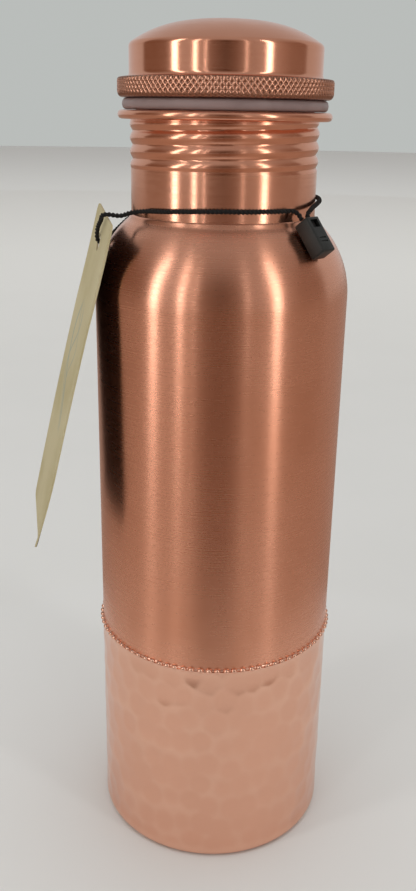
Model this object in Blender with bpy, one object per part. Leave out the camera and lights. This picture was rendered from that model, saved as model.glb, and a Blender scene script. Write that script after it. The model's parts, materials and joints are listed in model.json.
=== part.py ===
"""Copper water bottle with a screw cap, and the paper tag that is tied round its neck.

The bottle stands on z = 0 with its axis on Z. All sizes are in metres, +Z up.
"""

import math

import bmesh
import bpy
from mathutils import Matrix, Vector

MM = 0.001

# Driving dimensions: bottle
BODY_RADIUS = 37.5 * MM
CUP_PROUD = 0.2 * MM
NECK_RADIUS = 26.6 * MM
SHEET = 0.6 * MM
SEAM_HEIGHT = 71.5 * MM
NECK_FOOT_HEIGHT = 201.5 * MM
NECK_LENGTH = 29.1 * MM
SHOULDER_BEND = 28.0 * MM
SHOULDER_RUN_IN = 1.3 * MM
SHOULDER_LIP = 1.0 * MM
LAP = 5.0 * MM
SEAM_RING_HEIGHT = 1.0 * MM
SEAM_RING_RISE = 0.4 * MM
CUP_CORNER = 2.6 * MM
FOOT_WIDTH = 5.5 * MM
FOOT_RECESS = 2.0 * MM
NECK_INSET = 4.0 * MM
RIM_OVERHANG = 3.55 * MM
RIM_HEIGHT = 2.4 * MM

# Driving dimensions: screw thread, one start, right-handed
THREAD_PITCH = 3.7 * MM
THREAD_TURNS = 3.6
THREAD_GROOVE = 0.55 * MM
THREAD_RIDGE = 0.2 * MM
THREAD_PHASE_HEIGHT = 19.85 * MM
THREAD_FADE = 1.6 * MM

# Driving dimensions: cap
CAP_PROUD = 0.3 * MM
CAP_WALL_HEIGHT = 7.4 * MM
CAP_CORNER = 1.6 * MM
CAP_CROWN = 5.6 * MM
CAP_CROWN_POWER = 2.9
CAP_CROWN_RINGS = (0.93, 0.85, 0.72, 0.55, 0.3, 0.0)
CAP_FOOT_FLARE = 0.8 * MM
CAP_FOOT_FLARE_HEIGHT = 1.2 * MM
GRIP_OVERHANG = 3.6 * MM
GRIP_HEIGHT = 5.3 * MM
GRIP_CORNER = 1.3 * MM
GRIP_EDGE = 0.4 * MM
SPIGOT_HEIGHT = 3.0 * MM
GASKET_OVERHANG = 2.2 * MM
GASKET_THICKNESS = 2.55 * MM
PLUG_DEPTH = 17.0 * MM
PLUG_LEAD = 0.4 * MM
PLUG_FLOOR_LIP = 2.4 * MM

# Driving dimensions: tag, lock and cord
TAG_WIDTH = 40.0 * MM
TAG_HEIGHT = 101.0 * MM
TAG_THICKNESS = 0.5 * MM
TAG_CORNER = 2.5 * MM
TAG_HOLE_RADIUS = 2.6 * MM
TAG_HOLE_DROP = 8.4 * MM
TAG_STAND_OFF = 0.7 * MM
TAG_SIDE_SHIFT = -4.2 * MM
TAG_HOLE_RISE = 8.0 * MM
TAG_SIDE_TURN = math.radians(193.2)
TAG_LEAN = math.radians(13.5)
TAG_TILT = math.radians(4.0)
LOCK_LENGTH = 10.6 * MM
LOCK_WIDTH = 5.4 * MM
LOCK_DEPTH = 4.8 * MM
LOCK_WALL = 0.9 * MM
LOCK_WINDOW = 2.4 * MM
LOCK_TURN = math.radians(-41.9)
LOCK_RISE = math.radians(38.5)
CORD_DIAMETER = 1.4 * MM

# The cord's route, from the lock's top over the front of the neck, through the tag's hole and back
# behind the neck to the lock. Each point is laid out from the piece it passes:
#   LOCK  across, up and out from the middle of the lock's top, in millimetres
#   NECK  angle round Z in degrees, then millimetres off the neck's wall and above its foot
#   TAG   across, down and out from the middle of the tag's hole, in millimetres
CORD_ROUTE = (
    ("LOCK", -1.35, 0.55, 0.0),
    ("LOCK", -1.45, 2.2, -0.1),
    ("NECK", -48.0, 1.6, 4.1),
    ("NECK", -53.8, 1.2, 4.15),
    ("NECK", -61.5, 1.1, 4.15),
    ("NECK", -76.4, 1.1, 4.2),
    ("NECK", -92.1, 1.1, 4.25),
    ("NECK", -107.9, 1.1, 4.0),
    ("NECK", -124.2, 1.15, 3.55),
    ("NECK", -140.0, 1.35, 3.1),
    ("NECK", -149.5, 2.9, 2.3),
    ("NECK", -154.6, 5.0, 1.3),
    ("TAG", 8.7, -9.3, 1.5),
    ("TAG", 5.6, -6.9, 1.65),
    ("TAG", 3.0, -4.6, 1.7),
    ("TAG", 1.8, -2.3, 1.35),
    ("TAG", 1.2, -0.7, 0.7),
    ("TAG", -0.1, 0.1, -0.6),
    ("TAG", -2.8, 0.4, -1.6),
    ("TAG", -6.6, 0.4, -2.5),
    ("NECK", 167.6, 8.1, -6.9),
    ("NECK", 160.5, 6.93, -4.7),
    ("NECK", 153.0, 5.15, -1.8),
    ("NECK", 143.2, 3.12, 1.1),
    ("NECK", 128.9, 1.4, 3.2),
    ("NECK", 110.1, 1.15, 4.4),
    ("NECK", 90.0, 1.15, 5.0),
    ("NECK", 69.9, 1.15, 5.4),
    ("NECK", 49.3, 1.15, 5.6),
    ("NECK", 28.0, 1.15, 5.75),
    ("NECK", 9.0, 1.15, 5.75),
    ("NECK", -7.3, 1.15, 5.45),
    ("NECK", -20.5, 1.2, 4.95),
    ("NECK", -29.0, 1.7, 4.5),
    ("NECK", -35.0, 2.6, 4.05),
    ("LOCK", 1.9, 1.9, 0.35),
    ("LOCK", 1.2, 0.65, 0.1),
)
CORD_SAMPLES = 78
CORD_STEPS_PER_SPAN = 24

# Fits
GAP = 0.3 * MM
THREAD_CLEARANCE = 0.4 * MM
CORD_REST_GAP = 0.35 * MM

SEGMENTS = 40
SHARP_ANGLE = math.radians(35.0)
TAG_HOLE_STEPS = 12
SHOULDER_STEPS = 7
THREAD_ROWS_PER_PITCH = 6

# Sizes that follow from the ones above
CUP_RADIUS = BODY_RADIUS + CUP_PROUD
CAP_RADIUS = NECK_RADIUS + CAP_PROUD
GRIP_RADIUS = NECK_RADIUS + GRIP_OVERHANG
GASKET_RADIUS = NECK_RADIUS + GASKET_OVERHANG
NECK_BORE = NECK_RADIUS - SHEET
FOOT_MITRE = SHEET * (math.sqrt(2.0) - 1.0)
RIM_TOP = NECK_FOOT_HEIGHT + NECK_LENGTH
THREAD_TOP = RIM_TOP - RIM_HEIGHT
THREAD_BOTTOM = THREAD_TOP - THREAD_TURNS * THREAD_PITCH
PLUG_ROOT = NECK_BORE - THREAD_GROOVE - THREAD_CLEARANCE
GASKET_BOTTOM = RIM_TOP + GAP
GRIP_BOTTOM = GASKET_BOTTOM + GASKET_THICKNESS + GAP
GRIP_TOP = GRIP_BOTTOM + GRIP_HEIGHT
CAP_FOOT = GRIP_TOP + GAP
SPIGOT_RADIUS = CAP_RADIUS - SHEET - GAP
PLUG_TOP = GRIP_TOP + SPIGOT_HEIGHT
PLUG_BOTTOM = RIM_TOP - PLUG_DEPTH

COPPER = (0.72, 0.34, 0.22)


def clear_scene():
    """Remove every object of the scene that the file opens with."""
    for item in list(bpy.data.objects):
        bpy.data.objects.remove(item, do_unlink=True)


def material(name, colour, metallic, roughness):
    """A Principled material of one colour."""
    made = bpy.data.materials.new(name)
    made.use_nodes = True
    shader = made.node_tree.nodes["Principled BSDF"]
    shader.inputs["Base Color"].default_value = (*colour, 1.0)
    shader.inputs["Metallic"].default_value = metallic
    shader.inputs["Roughness"].default_value = roughness
    return made


def add_object(name, bm, finish, origin=(0.0, 0.0, 0.0)):
    """Make an object of a bmesh in world places, with its origin at a given point."""
    bmesh.ops.recalc_face_normals(bm, faces=bm.faces)
    bmesh.ops.translate(bm, verts=bm.verts, vec=-Vector(origin))
    mesh = bpy.data.meshes.new(name)
    bm.to_mesh(mesh)
    bm.free()
    mesh.materials.append(finish)
    mesh.shade_smooth()
    mesh.set_sharp_from_angle(angle=SHARP_ANGLE)
    made = bpy.data.objects.new(name, mesh)
    made.location = origin
    bpy.context.scene.collection.objects.link(made)
    return made


def turned(name, profile, finish, swell=None):
    """Turn a profile of (radius, height) points round Z.

    A profile that starts and ends on the axis makes a disc or a dome; any other is a closed loop.
    swell(angle, height) adds to the radius of points that have a third value, their share of it.
    """
    bm = bmesh.new()
    rings = []
    for point in profile:
        radius, height = point[0], point[1]
        share = point[2] if len(point) > 2 else 0.0
        if radius == 0.0:
            rings.append([bm.verts.new((0.0, 0.0, height))])
            continue
        ring = []
        for step in range(SEGMENTS):
            angle = math.tau * step / SEGMENTS
            extra = swell(angle, height) * share if swell and share else 0.0
            reach = radius + extra
            ring.append(bm.verts.new((reach * math.cos(angle), reach * math.sin(angle), height)))
        rings.append(ring)
    on_axis = len(rings[0]) == 1
    pairs = list(zip(rings, rings[1:])) + ([] if on_axis else [(rings[-1], rings[0])])
    for low, high in pairs:
        for step in range(SEGMENTS):
            after = (step + 1) % SEGMENTS
            corners = [low[step % len(low)], low[after % len(low)]]
            corners += [high[after % len(high)], high[step % len(high)]]
            bm.faces.new(list(dict.fromkeys(corners)))
    return add_object(name, bm, finish)


def arc(centre, radius, start, end, steps):
    """Points of a circular arc in the profile's plane, angles in degrees from +r towards +z."""
    points = []
    for step in range(steps + 1):
        angle = math.radians(start + (end - start) * step / steps)
        points.append((centre[0] + radius * math.cos(angle), centre[1] + radius * math.sin(angle)))
    return points


def thread_ridge(angle, height):
    """1 on the crest of the right-handed thread and 0 in its groove."""
    turns = (height - NECK_FOOT_HEIGHT - THREAD_PHASE_HEIGHT) / THREAD_PITCH - angle / math.tau
    return 0.5 + 0.5 * math.cos(math.tau * turns)


def fade(height, low, high):
    """0 at both ends of the thread, rising smoothly to 1 inside them."""
    inside = min(height - low, high - height) / THREAD_FADE
    share = max(0.0, min(1.0, inside))
    return share * share * (3.0 - 2.0 * share)


def thread_heights(low, high):
    """Heights of the rows of points along a threaded stretch, bottom to top."""
    rows = math.ceil((high - low) / THREAD_PITCH * THREAD_ROWS_PER_PITCH)
    return [low + (high - low) * row / rows for row in range(rows + 1)]


def neck_swell(angle, height):
    """How far the neck's rolled sheet stands off its plain radius."""
    depth = (THREAD_GROOVE + THREAD_RIDGE) * thread_ridge(angle, height) - THREAD_GROOVE
    return fade(height, THREAD_BOTTOM, THREAD_TOP) * depth


def plug_swell(angle, height):
    """How far the plug's thread stands off its root."""
    depth = (THREAD_GROOVE + THREAD_RIDGE) * thread_ridge(angle, height)
    return fade(height, PLUG_BOTTOM + PLUG_LEAD, THREAD_TOP) * depth


def shoulder_bend():
    """The shoulder's arc: its centre and the angle in degrees at which it reaches the neck."""
    end_radius = NECK_RADIUS + GAP + SHOULDER_RUN_IN
    reach = math.degrees(math.acos(1.0 - (BODY_RADIUS - end_radius) / SHOULDER_BEND))
    end_height = NECK_FOOT_HEIGHT - SHOULDER_LIP
    centre_height = end_height - SHOULDER_BEND * math.sin(math.radians(reach))
    return (BODY_RADIUS - SHOULDER_BEND, centre_height), reach


def make_upper_body(finish):
    """The brushed upper shell, from the seam to the foot of the neck."""
    centre, reach = shoulder_bend()
    bottom = SEAM_HEIGHT + SEAM_RING_HEIGHT / 2 + GAP
    edge = NECK_RADIUS + GAP
    outside = [(BODY_RADIUS, bottom)] + arc(centre, SHOULDER_BEND, 0.0, reach, SHOULDER_STEPS)
    outside += [(edge, NECK_FOOT_HEIGHT)]
    inside = [(edge, NECK_FOOT_HEIGHT - SHOULDER_LIP)]
    inside += arc(centre, SHOULDER_BEND - SHEET, reach, 0.0, SHOULDER_STEPS)
    inside += [(BODY_RADIUS - SHEET, bottom)]
    turned("upper_body_shell", outside + inside, finish)


def make_neck(finish):
    """The neck: a tube with the screw thread rolled into it and its rim curled outwards."""
    bottom = NECK_FOOT_HEIGHT - NECK_INSET
    rows = thread_heights(THREAD_BOTTOM, THREAD_TOP)
    bead = (NECK_RADIUS + RIM_OVERHANG - RIM_HEIGHT / 2, RIM_TOP - RIM_HEIGHT / 2)
    outside = [(NECK_RADIUS, bottom)] + [(NECK_RADIUS, z, 1.0) for z in rows]
    curl = arc(bead, RIM_HEIGHT / 2, -90.0, 90.0, 6)
    inside = [(NECK_BORE + SHEET, RIM_TOP), (NECK_BORE, RIM_TOP - SHEET)]
    inside += [(NECK_BORE, z, 1.0) for z in reversed(rows)] + [(NECK_BORE, bottom)]
    turned("bottle_neck", outside + curl + inside, finish, neck_swell)


def make_lower_cup(finish):
    """The hammered lower cup with its joggled top edge and its foot ring round a pushed-in base."""
    joggle_radius = BODY_RADIUS - SHEET - GAP
    shoulder = SEAM_HEIGHT - SEAM_RING_HEIGHT / 2 - GAP
    top = SEAM_HEIGHT + LAP
    corner = (CUP_RADIUS - CUP_CORNER, CUP_CORNER)
    foot_inner = corner[0] - FOOT_WIDTH
    recess = foot_inner - FOOT_RECESS
    outside = [(0.0, FOOT_RECESS), (recess, FOOT_RECESS), (foot_inner, 0.0)]
    outside += arc(corner, CUP_CORNER, -90.0, 0.0, 4)
    outside += [(CUP_RADIUS, shoulder), (joggle_radius, shoulder), (joggle_radius, top)]
    inside = [(joggle_radius - SHEET, top), (joggle_radius - SHEET, shoulder - SHEET)]
    inside += [(CUP_RADIUS - SHEET, shoulder - SHEET)]
    inside += arc(corner, CUP_CORNER - SHEET, 0.0, -90.0, 4)
    inside += [(foot_inner + FOOT_MITRE, SHEET), (recess + FOOT_MITRE, FOOT_RECESS + SHEET)]
    inside += [(0.0, FOOT_RECESS + SHEET)]
    turned("lower_cup", outside + inside, finish)


def make_seam_ring(finish):
    """The beaded wire ring that covers the seam between the cup and the upper shell."""
    inner = BODY_RADIUS - SHEET
    outer = CUP_RADIUS + SEAM_RING_RISE
    half = SEAM_RING_HEIGHT / 2
    shy = SEAM_RING_RISE / 2
    profile = [(inner, SEAM_HEIGHT - half), (outer - shy, SEAM_HEIGHT - half)]
    profile += [(outer, SEAM_HEIGHT - half + shy), (outer, SEAM_HEIGHT + half - shy)]
    profile += [(outer - shy, SEAM_HEIGHT + half), (inner, SEAM_HEIGHT + half)]
    turned("seam_bead_ring", profile, finish)


def cap_outline(radius, foot, wall_top, flare):
    """The cap dome's surface from its foot, up the wall and over the crown to the axis."""
    points = [(radius + flare, foot), (radius, foot + CAP_FOOT_FLARE_HEIGHT)] if flare else [(radius, foot)]
    corner = (radius - CAP_CORNER, wall_top - CAP_CORNER)
    points += arc(corner, CAP_CORNER, 0.0, 60.0, 3)
    edge_radius, edge_height = points[-1]
    crown = CAP_CROWN + (wall_top - edge_height)
    for share in CAP_CROWN_RINGS:
        rise = crown * (1.0 - share**CAP_CROWN_POWER)
        points.append((edge_radius * share, edge_height + rise))
    return points


def make_cap_dome(finish):
    """The cap's spun dome, open underneath."""
    wall_top = CAP_FOOT + CAP_WALL_HEIGHT + CAP_CORNER
    outside = cap_outline(CAP_RADIUS, CAP_FOOT, wall_top, CAP_FOOT_FLARE)
    inside = cap_outline(CAP_RADIUS - SHEET, CAP_FOOT, wall_top - SHEET, 0.0)
    turned("cap_dome", outside[::-1] + inside, finish)


def make_cap_grip(finish):
    """The grip ring between dome and gasket, with a spigot that the dome sits over."""
    bore = PLUG_ROOT + GAP
    corner = (GRIP_RADIUS - GRIP_CORNER, GRIP_BOTTOM + GRIP_CORNER)
    profile = [(bore, GRIP_BOTTOM)] + arc(corner, GRIP_CORNER, -90.0, 0.0, 3)
    profile += [(GRIP_RADIUS, GRIP_TOP - GRIP_EDGE), (GRIP_RADIUS - GRIP_EDGE, GRIP_TOP)]
    profile += [(SPIGOT_RADIUS, GRIP_TOP), (SPIGOT_RADIUS, PLUG_TOP), (bore, PLUG_TOP)]
    turned("cap_grip_ring", profile, finish)


def make_cap_plug(finish):
    """The threaded sleeve that screws into the neck."""
    bore = PLUG_ROOT - SHEET
    rows = thread_heights(PLUG_BOTTOM + PLUG_LEAD, THREAD_TOP)
    outside = [(PLUG_ROOT, PLUG_BOTTOM)] + [(PLUG_ROOT, z, 1.0) for z in rows]
    profile = outside + [(PLUG_ROOT, PLUG_TOP), (bore, PLUG_TOP), (bore, PLUG_BOTTOM)]
    turned("cap_thread_plug", profile, finish, plug_swell)


def make_plug_floor(finish):
    """The dished disc that closes the plug's lower end."""
    outer = PLUG_ROOT - SHEET - GAP
    low = PLUG_BOTTOM + SHEET
    profile = [(0.0, low), (outer - SHEET, low), (outer, low + SHEET)]
    profile += [(outer, low + PLUG_FLOOR_LIP), (outer - SHEET, low + PLUG_FLOOR_LIP)]
    profile += [(outer - SHEET, low + SHEET), (0.0, low + SHEET)]
    turned("cap_plug_floor", profile, finish)


def make_gasket(finish):
    """The silicone gasket that the cap presses on the rim."""
    inner = PLUG_ROOT + GAP
    top = GASKET_BOTTOM + GASKET_THICKNESS
    half = GASKET_THICKNESS / 2
    centre = (GASKET_RADIUS - half, GASKET_BOTTOM + half)
    profile = [(inner, GASKET_BOTTOM)] + arc(centre, half, -90.0, 90.0, 4) + [(inner, top)]
    turned("cap_gasket", profile, finish)


def shoulder_frame(turn, rise, stand_off):
    """A place over the shoulder, and the directions along it, up it and out of it."""
    centre, _ = shoulder_bend()
    radial = Vector((math.cos(turn), math.sin(turn), 0.0))
    upright = Vector((0.0, 0.0, 1.0))
    out = radial * math.cos(rise) + upright * math.sin(rise)
    place = radial * centre[0] + upright * centre[1] + out * (SHOULDER_BEND + stand_off)
    up = -radial * math.sin(rise) + upright * math.cos(rise)
    return place, up.cross(out), up, out


def tag_frame():
    """The middle of the tag's hole, and the directions across the tag, down it and out of it."""
    stand_off = TAG_STAND_OFF + TAG_THICKNESS / 2
    rest, side, up, out = shoulder_frame(TAG_SIDE_TURN, TAG_LEAN, stand_off)
    hole = rest + side * TAG_SIDE_SHIFT + up * TAG_HOLE_RISE
    across = side * math.cos(TAG_TILT) - up * math.sin(TAG_TILT)
    down = -side * math.sin(TAG_TILT) - up * math.cos(TAG_TILT)
    return hole, across, down, out


def lock_frame():
    """The middle of the lock's top, and the directions across the lock, up it and out of it."""
    stand_off = CORD_REST_GAP + LOCK_DEPTH / 2
    middle, side, up, out = shoulder_frame(LOCK_TURN, LOCK_RISE, stand_off)
    return middle + up * (LOCK_LENGTH / 2), side, up, out


def add_box(bm, centre, axes, sizes):
    """Add a box with its own axes."""
    turn = Matrix((axes[0], axes[1], axes[2])).transposed().to_4x4()
    place = Matrix.Translation(centre) @ turn @ Matrix.Diagonal((*sizes, 1.0))
    bmesh.ops.create_cube(bm, size=1.0, matrix=place)


def cutter(name, centre, axes, sizes):
    """A hidden box that a Boolean cuts with."""
    bm = bmesh.new()
    add_box(bm, centre, axes, sizes)
    mesh = bpy.data.meshes.new(name)
    bm.to_mesh(mesh)
    bm.free()
    made = bpy.data.objects.new(name, mesh)
    made.hide_render = True
    made.display_type = "WIRE"
    bpy.context.scene.collection.objects.link(made)
    return made


def cut(item, tool):
    """Take a cutter away from an object."""
    boolean = item.modifiers.new("cut", "BOOLEAN")
    boolean.operation = "DIFFERENCE"
    boolean.object = tool


def make_tag(finish):
    """The card tag, leaning on the shoulder, with the hole that the cord is tied through."""
    hole, across, down, out = tag_frame()
    bm = bmesh.new()
    outline = []
    half = TAG_WIDTH / 2 - TAG_CORNER
    corners = ((half, TAG_CORNER, -90.0), (half, TAG_HEIGHT - TAG_CORNER, 0.0))
    corners += ((-half, TAG_HEIGHT - TAG_CORNER, 90.0), (-half, TAG_CORNER, 180.0))
    for sideways, below_top, start in corners:
        outline += arc((sideways, below_top - TAG_HOLE_DROP), TAG_CORNER, start, start + 90.0, 2)
    ring = arc((0.0, 0.0), TAG_HOLE_RADIUS, -90.0, 270.0, TAG_HOLE_STEPS)[:-1]
    layers = []
    for shift in (-TAG_THICKNESS / 2, TAG_THICKNESS / 2):
        level = hole + out * shift
        loops = []
        for points in (outline, ring):
            loops.append([bm.verts.new(level + across * u + down * v) for u, v in points])
        for loop in loops:
            for start, end in zip(loop, loop[1:] + loop[:1]):
                bm.edges.new((start, end))
        edges = [edge for edge in bm.edges if not edge.link_faces and not edge.tag]
        bmesh.ops.triangle_fill(bm, edges=edges, use_beauty=True)
        for edge in bm.edges:
            edge.tag = True
        layers.append(loops)
    for low, high in zip(*layers):
        for index in range(len(low)):
            after = (index + 1) % len(low)
            bm.faces.new((low[index], low[after], high[after], high[index]))
    add_object("hang_tag", bm, finish, hole)


def make_lock(finish, plug_finish):
    """The cord's snap lock: a socket with a window, and the barbed plug pushed into it."""
    top, side, up, out = lock_frame()
    axes = (side, up, out)
    bm = bmesh.new()
    add_box(bm, top - up * (LOCK_LENGTH / 2), axes, (LOCK_WIDTH, LOCK_LENGTH, LOCK_DEPTH))
    body = add_object("tag_lock_body", bm, finish)
    bore_width = LOCK_WIDTH - 2 * LOCK_WALL
    bore_depth = LOCK_DEPTH - 2 * LOCK_WALL
    bore_length = LOCK_LENGTH - LOCK_WALL
    bore_middle = top - up * (bore_length / 2) + up * GAP
    cut(body, cutter("lock_bore", bore_middle, axes, (bore_width, bore_length + 2 * GAP, bore_depth)))
    window_middle = top - up * (LOCK_WALL + LOCK_WINDOW / 2) + out * (LOCK_DEPTH / 2)
    window = (bore_width - 2 * GAP, LOCK_WINDOW, 2 * LOCK_WALL + GAP)
    cut(body, cutter("lock_window", window_middle, axes, window))

    plug_length = LOCK_LENGTH - 2 * LOCK_WALL
    bm = bmesh.new()
    plug = (bore_width - 2 * GAP, plug_length, bore_depth - 2 * GAP)
    add_box(bm, top - up * (plug_length / 2), axes, plug)
    add_object("tag_lock_plug", bm, plug_finish)


def cord_point(piece, first, second, third):
    """The place in space of one point of the cord's route."""
    if piece == "NECK":
        angle = math.radians(first)
        reach = NECK_RADIUS + second * MM
        return Vector((reach * math.cos(angle), reach * math.sin(angle), NECK_FOOT_HEIGHT + third * MM))
    start, along, over, out = tag_frame() if piece == "TAG" else lock_frame()
    return start + (along * first + over * second + out * third) * MM


def clear_of_shoulder(place):
    """A point of the cord, moved out to its gap over the shoulder if it lies nearer than that."""
    centre, _ = shoulder_bend()
    reach = math.hypot(place.x, place.y)
    out = Vector((reach - centre[0], place.z - centre[1]))
    least = SHOULDER_BEND + CORD_DIAMETER / 2 + GAP
    if out.length >= least:
        return place
    out *= least / out.length
    share = (centre[0] + out.x) / reach
    return Vector((place.x * share, place.y * share, centre[1] + out.y))


def smooth_route(points, samples):
    """Evenly spaced points on a Catmull-Rom curve through the route's own points."""
    ends = [points[0] * 2 - points[1]] + list(points) + [points[-1] * 2 - points[-2]]
    dense = []
    for index in range(1, len(ends) - 2):
        before, start, end, after = ends[index - 1 : index + 3]
        for step in range(CORD_STEPS_PER_SPAN):
            t = step / CORD_STEPS_PER_SPAN
            bend = (before * -1 + start * 3 - end * 3 + after) * t**3
            bend += (before * 2 - start * 5 + end * 4 - after) * t**2
            dense.append((bend + (end - before) * t) * 0.5 + start)
    dense.append(points[-1])
    lengths = [0.0]
    for start, end in zip(dense, dense[1:]):
        lengths.append(lengths[-1] + (end - start).length)
    placed = []
    index = 0
    for step in range(samples):
        target = lengths[-1] * step / (samples - 1)
        while index < len(lengths) - 2 and lengths[index + 1] < target:
            index += 1
        span = lengths[index + 1] - lengths[index]
        placed.append(dense[index].lerp(dense[index + 1], (target - lengths[index]) / span))
    return placed


def make_cord(finish):
    """The twisted cord, a tube along its route round the neck."""
    route = [cord_point(*point) for point in CORD_ROUTE]
    curve = bpy.data.curves.new("tag_cord", "CURVE")
    curve.dimensions = "3D"
    curve.bevel_depth = CORD_DIAMETER / 2
    curve.bevel_resolution = 2
    curve.use_fill_caps = True
    spline = curve.splines.new("POLY")
    placed = [clear_of_shoulder(place) for place in smooth_route(route, CORD_SAMPLES)]
    spline.points.add(len(placed) - 1)
    for point, place in zip(spline.points, placed):
        point.co = (*place, 1.0)
    curve.materials.append(finish)
    bpy.context.scene.collection.objects.link(bpy.data.objects.new("tag_cord", curve))


def main():
    clear_scene()
    make_upper_body(material("brushed_copper", COPPER, 1.0, 0.32))
    make_neck(material("polished_copper", COPPER, 1.0, 0.22))
    make_lower_cup(material("hammered_copper", (0.78, 0.43, 0.3), 1.0, 0.35))
    make_seam_ring(material("seam_copper", COPPER, 1.0, 0.3))
    make_cap_dome(material("cap_copper", COPPER, 1.0, 0.2))
    make_cap_grip(material("knurled_copper", COPPER, 1.0, 0.3))
    make_cap_plug(material("plug_copper", COPPER, 1.0, 0.28))
    make_plug_floor(material("plug_floor_copper", COPPER, 1.0, 0.28))
    make_gasket(material("gasket_silicone", (0.36, 0.3, 0.29), 0.0, 0.45))
    make_tag(material("tag_card", (0.62, 0.53, 0.36), 0.0, 0.8))
    lock = material("lock_plastic", (0.02, 0.022, 0.02), 0.0, 0.45)
    make_lock(lock, material("lock_plug_plastic", (0.025, 0.025, 0.025), 0.0, 0.5))
    make_cord(material("cord_black", (0.01, 0.01, 0.01), 0.0, 0.8))


main()
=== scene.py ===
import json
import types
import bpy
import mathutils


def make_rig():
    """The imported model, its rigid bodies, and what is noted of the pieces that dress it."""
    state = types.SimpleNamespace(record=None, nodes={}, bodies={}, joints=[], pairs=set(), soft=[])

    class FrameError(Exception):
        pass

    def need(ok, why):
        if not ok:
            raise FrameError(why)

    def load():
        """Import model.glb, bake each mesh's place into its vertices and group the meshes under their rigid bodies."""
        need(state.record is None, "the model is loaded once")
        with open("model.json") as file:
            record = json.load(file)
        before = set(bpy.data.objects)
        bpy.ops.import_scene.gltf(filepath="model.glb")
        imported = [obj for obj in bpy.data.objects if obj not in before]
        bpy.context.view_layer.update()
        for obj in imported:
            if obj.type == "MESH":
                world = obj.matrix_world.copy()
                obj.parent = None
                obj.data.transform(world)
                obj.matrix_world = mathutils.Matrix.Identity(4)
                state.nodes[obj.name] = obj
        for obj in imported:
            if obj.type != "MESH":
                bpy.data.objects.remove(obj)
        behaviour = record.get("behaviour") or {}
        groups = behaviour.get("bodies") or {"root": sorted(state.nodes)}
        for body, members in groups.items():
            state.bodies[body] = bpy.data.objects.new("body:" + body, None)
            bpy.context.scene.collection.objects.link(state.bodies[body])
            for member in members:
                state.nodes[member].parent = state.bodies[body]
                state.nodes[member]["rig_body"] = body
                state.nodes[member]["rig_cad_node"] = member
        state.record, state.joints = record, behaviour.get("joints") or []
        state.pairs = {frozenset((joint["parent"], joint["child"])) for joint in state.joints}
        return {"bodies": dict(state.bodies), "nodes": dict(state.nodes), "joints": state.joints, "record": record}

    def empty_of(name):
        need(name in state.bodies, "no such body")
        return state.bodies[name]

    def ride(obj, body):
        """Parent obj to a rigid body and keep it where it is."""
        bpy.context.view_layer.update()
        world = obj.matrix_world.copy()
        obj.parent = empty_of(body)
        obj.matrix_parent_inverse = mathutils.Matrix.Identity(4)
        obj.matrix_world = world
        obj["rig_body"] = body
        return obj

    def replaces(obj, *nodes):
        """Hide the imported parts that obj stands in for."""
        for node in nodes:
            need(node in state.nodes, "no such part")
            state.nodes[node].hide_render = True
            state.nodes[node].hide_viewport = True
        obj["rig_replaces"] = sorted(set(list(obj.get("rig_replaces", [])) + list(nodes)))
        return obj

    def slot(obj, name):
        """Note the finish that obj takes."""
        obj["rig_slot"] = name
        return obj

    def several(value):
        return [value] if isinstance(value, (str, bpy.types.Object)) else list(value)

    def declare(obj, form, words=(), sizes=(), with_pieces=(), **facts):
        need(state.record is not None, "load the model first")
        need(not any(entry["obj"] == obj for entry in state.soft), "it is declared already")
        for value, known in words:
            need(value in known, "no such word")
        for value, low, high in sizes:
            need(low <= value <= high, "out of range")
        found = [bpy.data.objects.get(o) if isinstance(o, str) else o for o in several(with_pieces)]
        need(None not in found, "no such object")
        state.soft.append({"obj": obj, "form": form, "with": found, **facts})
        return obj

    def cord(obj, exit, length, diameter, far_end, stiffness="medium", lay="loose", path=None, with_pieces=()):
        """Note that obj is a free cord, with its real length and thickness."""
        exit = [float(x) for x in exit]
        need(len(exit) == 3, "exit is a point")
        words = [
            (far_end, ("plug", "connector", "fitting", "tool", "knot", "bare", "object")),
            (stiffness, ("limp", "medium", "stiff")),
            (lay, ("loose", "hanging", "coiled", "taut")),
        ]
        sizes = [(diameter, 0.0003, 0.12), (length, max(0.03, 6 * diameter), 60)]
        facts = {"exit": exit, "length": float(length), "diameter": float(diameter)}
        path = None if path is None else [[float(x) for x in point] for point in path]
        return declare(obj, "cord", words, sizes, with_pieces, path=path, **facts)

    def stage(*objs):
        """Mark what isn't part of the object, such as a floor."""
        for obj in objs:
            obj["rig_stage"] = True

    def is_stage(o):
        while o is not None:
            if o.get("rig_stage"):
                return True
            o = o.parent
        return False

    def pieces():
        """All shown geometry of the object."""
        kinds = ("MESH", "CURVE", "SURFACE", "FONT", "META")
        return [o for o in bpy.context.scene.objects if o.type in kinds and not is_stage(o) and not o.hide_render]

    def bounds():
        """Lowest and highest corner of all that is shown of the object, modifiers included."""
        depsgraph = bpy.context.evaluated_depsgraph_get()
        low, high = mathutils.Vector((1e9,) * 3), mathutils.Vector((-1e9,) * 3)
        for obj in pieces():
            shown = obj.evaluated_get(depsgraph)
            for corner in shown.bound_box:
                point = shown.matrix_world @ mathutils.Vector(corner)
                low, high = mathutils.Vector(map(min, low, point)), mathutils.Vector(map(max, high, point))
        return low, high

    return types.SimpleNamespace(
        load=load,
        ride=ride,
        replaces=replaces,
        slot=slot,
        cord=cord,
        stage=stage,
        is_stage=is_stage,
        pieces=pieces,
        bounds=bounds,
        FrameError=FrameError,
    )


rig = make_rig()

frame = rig.load()

import json
import logging
import math
from dataclasses import dataclass, field
from enum import Enum
from typing import Callable, Iterator, Sequence

import bmesh
import bpy
import numpy as np
from mathutils import Matrix, Vector

MM = 0.001
TAU = math.tau
Point = tuple[float, ...]
Colour = tuple[float, float, float]
Swell = Callable[[np.ndarray, np.ndarray, np.ndarray], np.ndarray]

log = logging.getLogger("copper_bottle")


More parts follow.
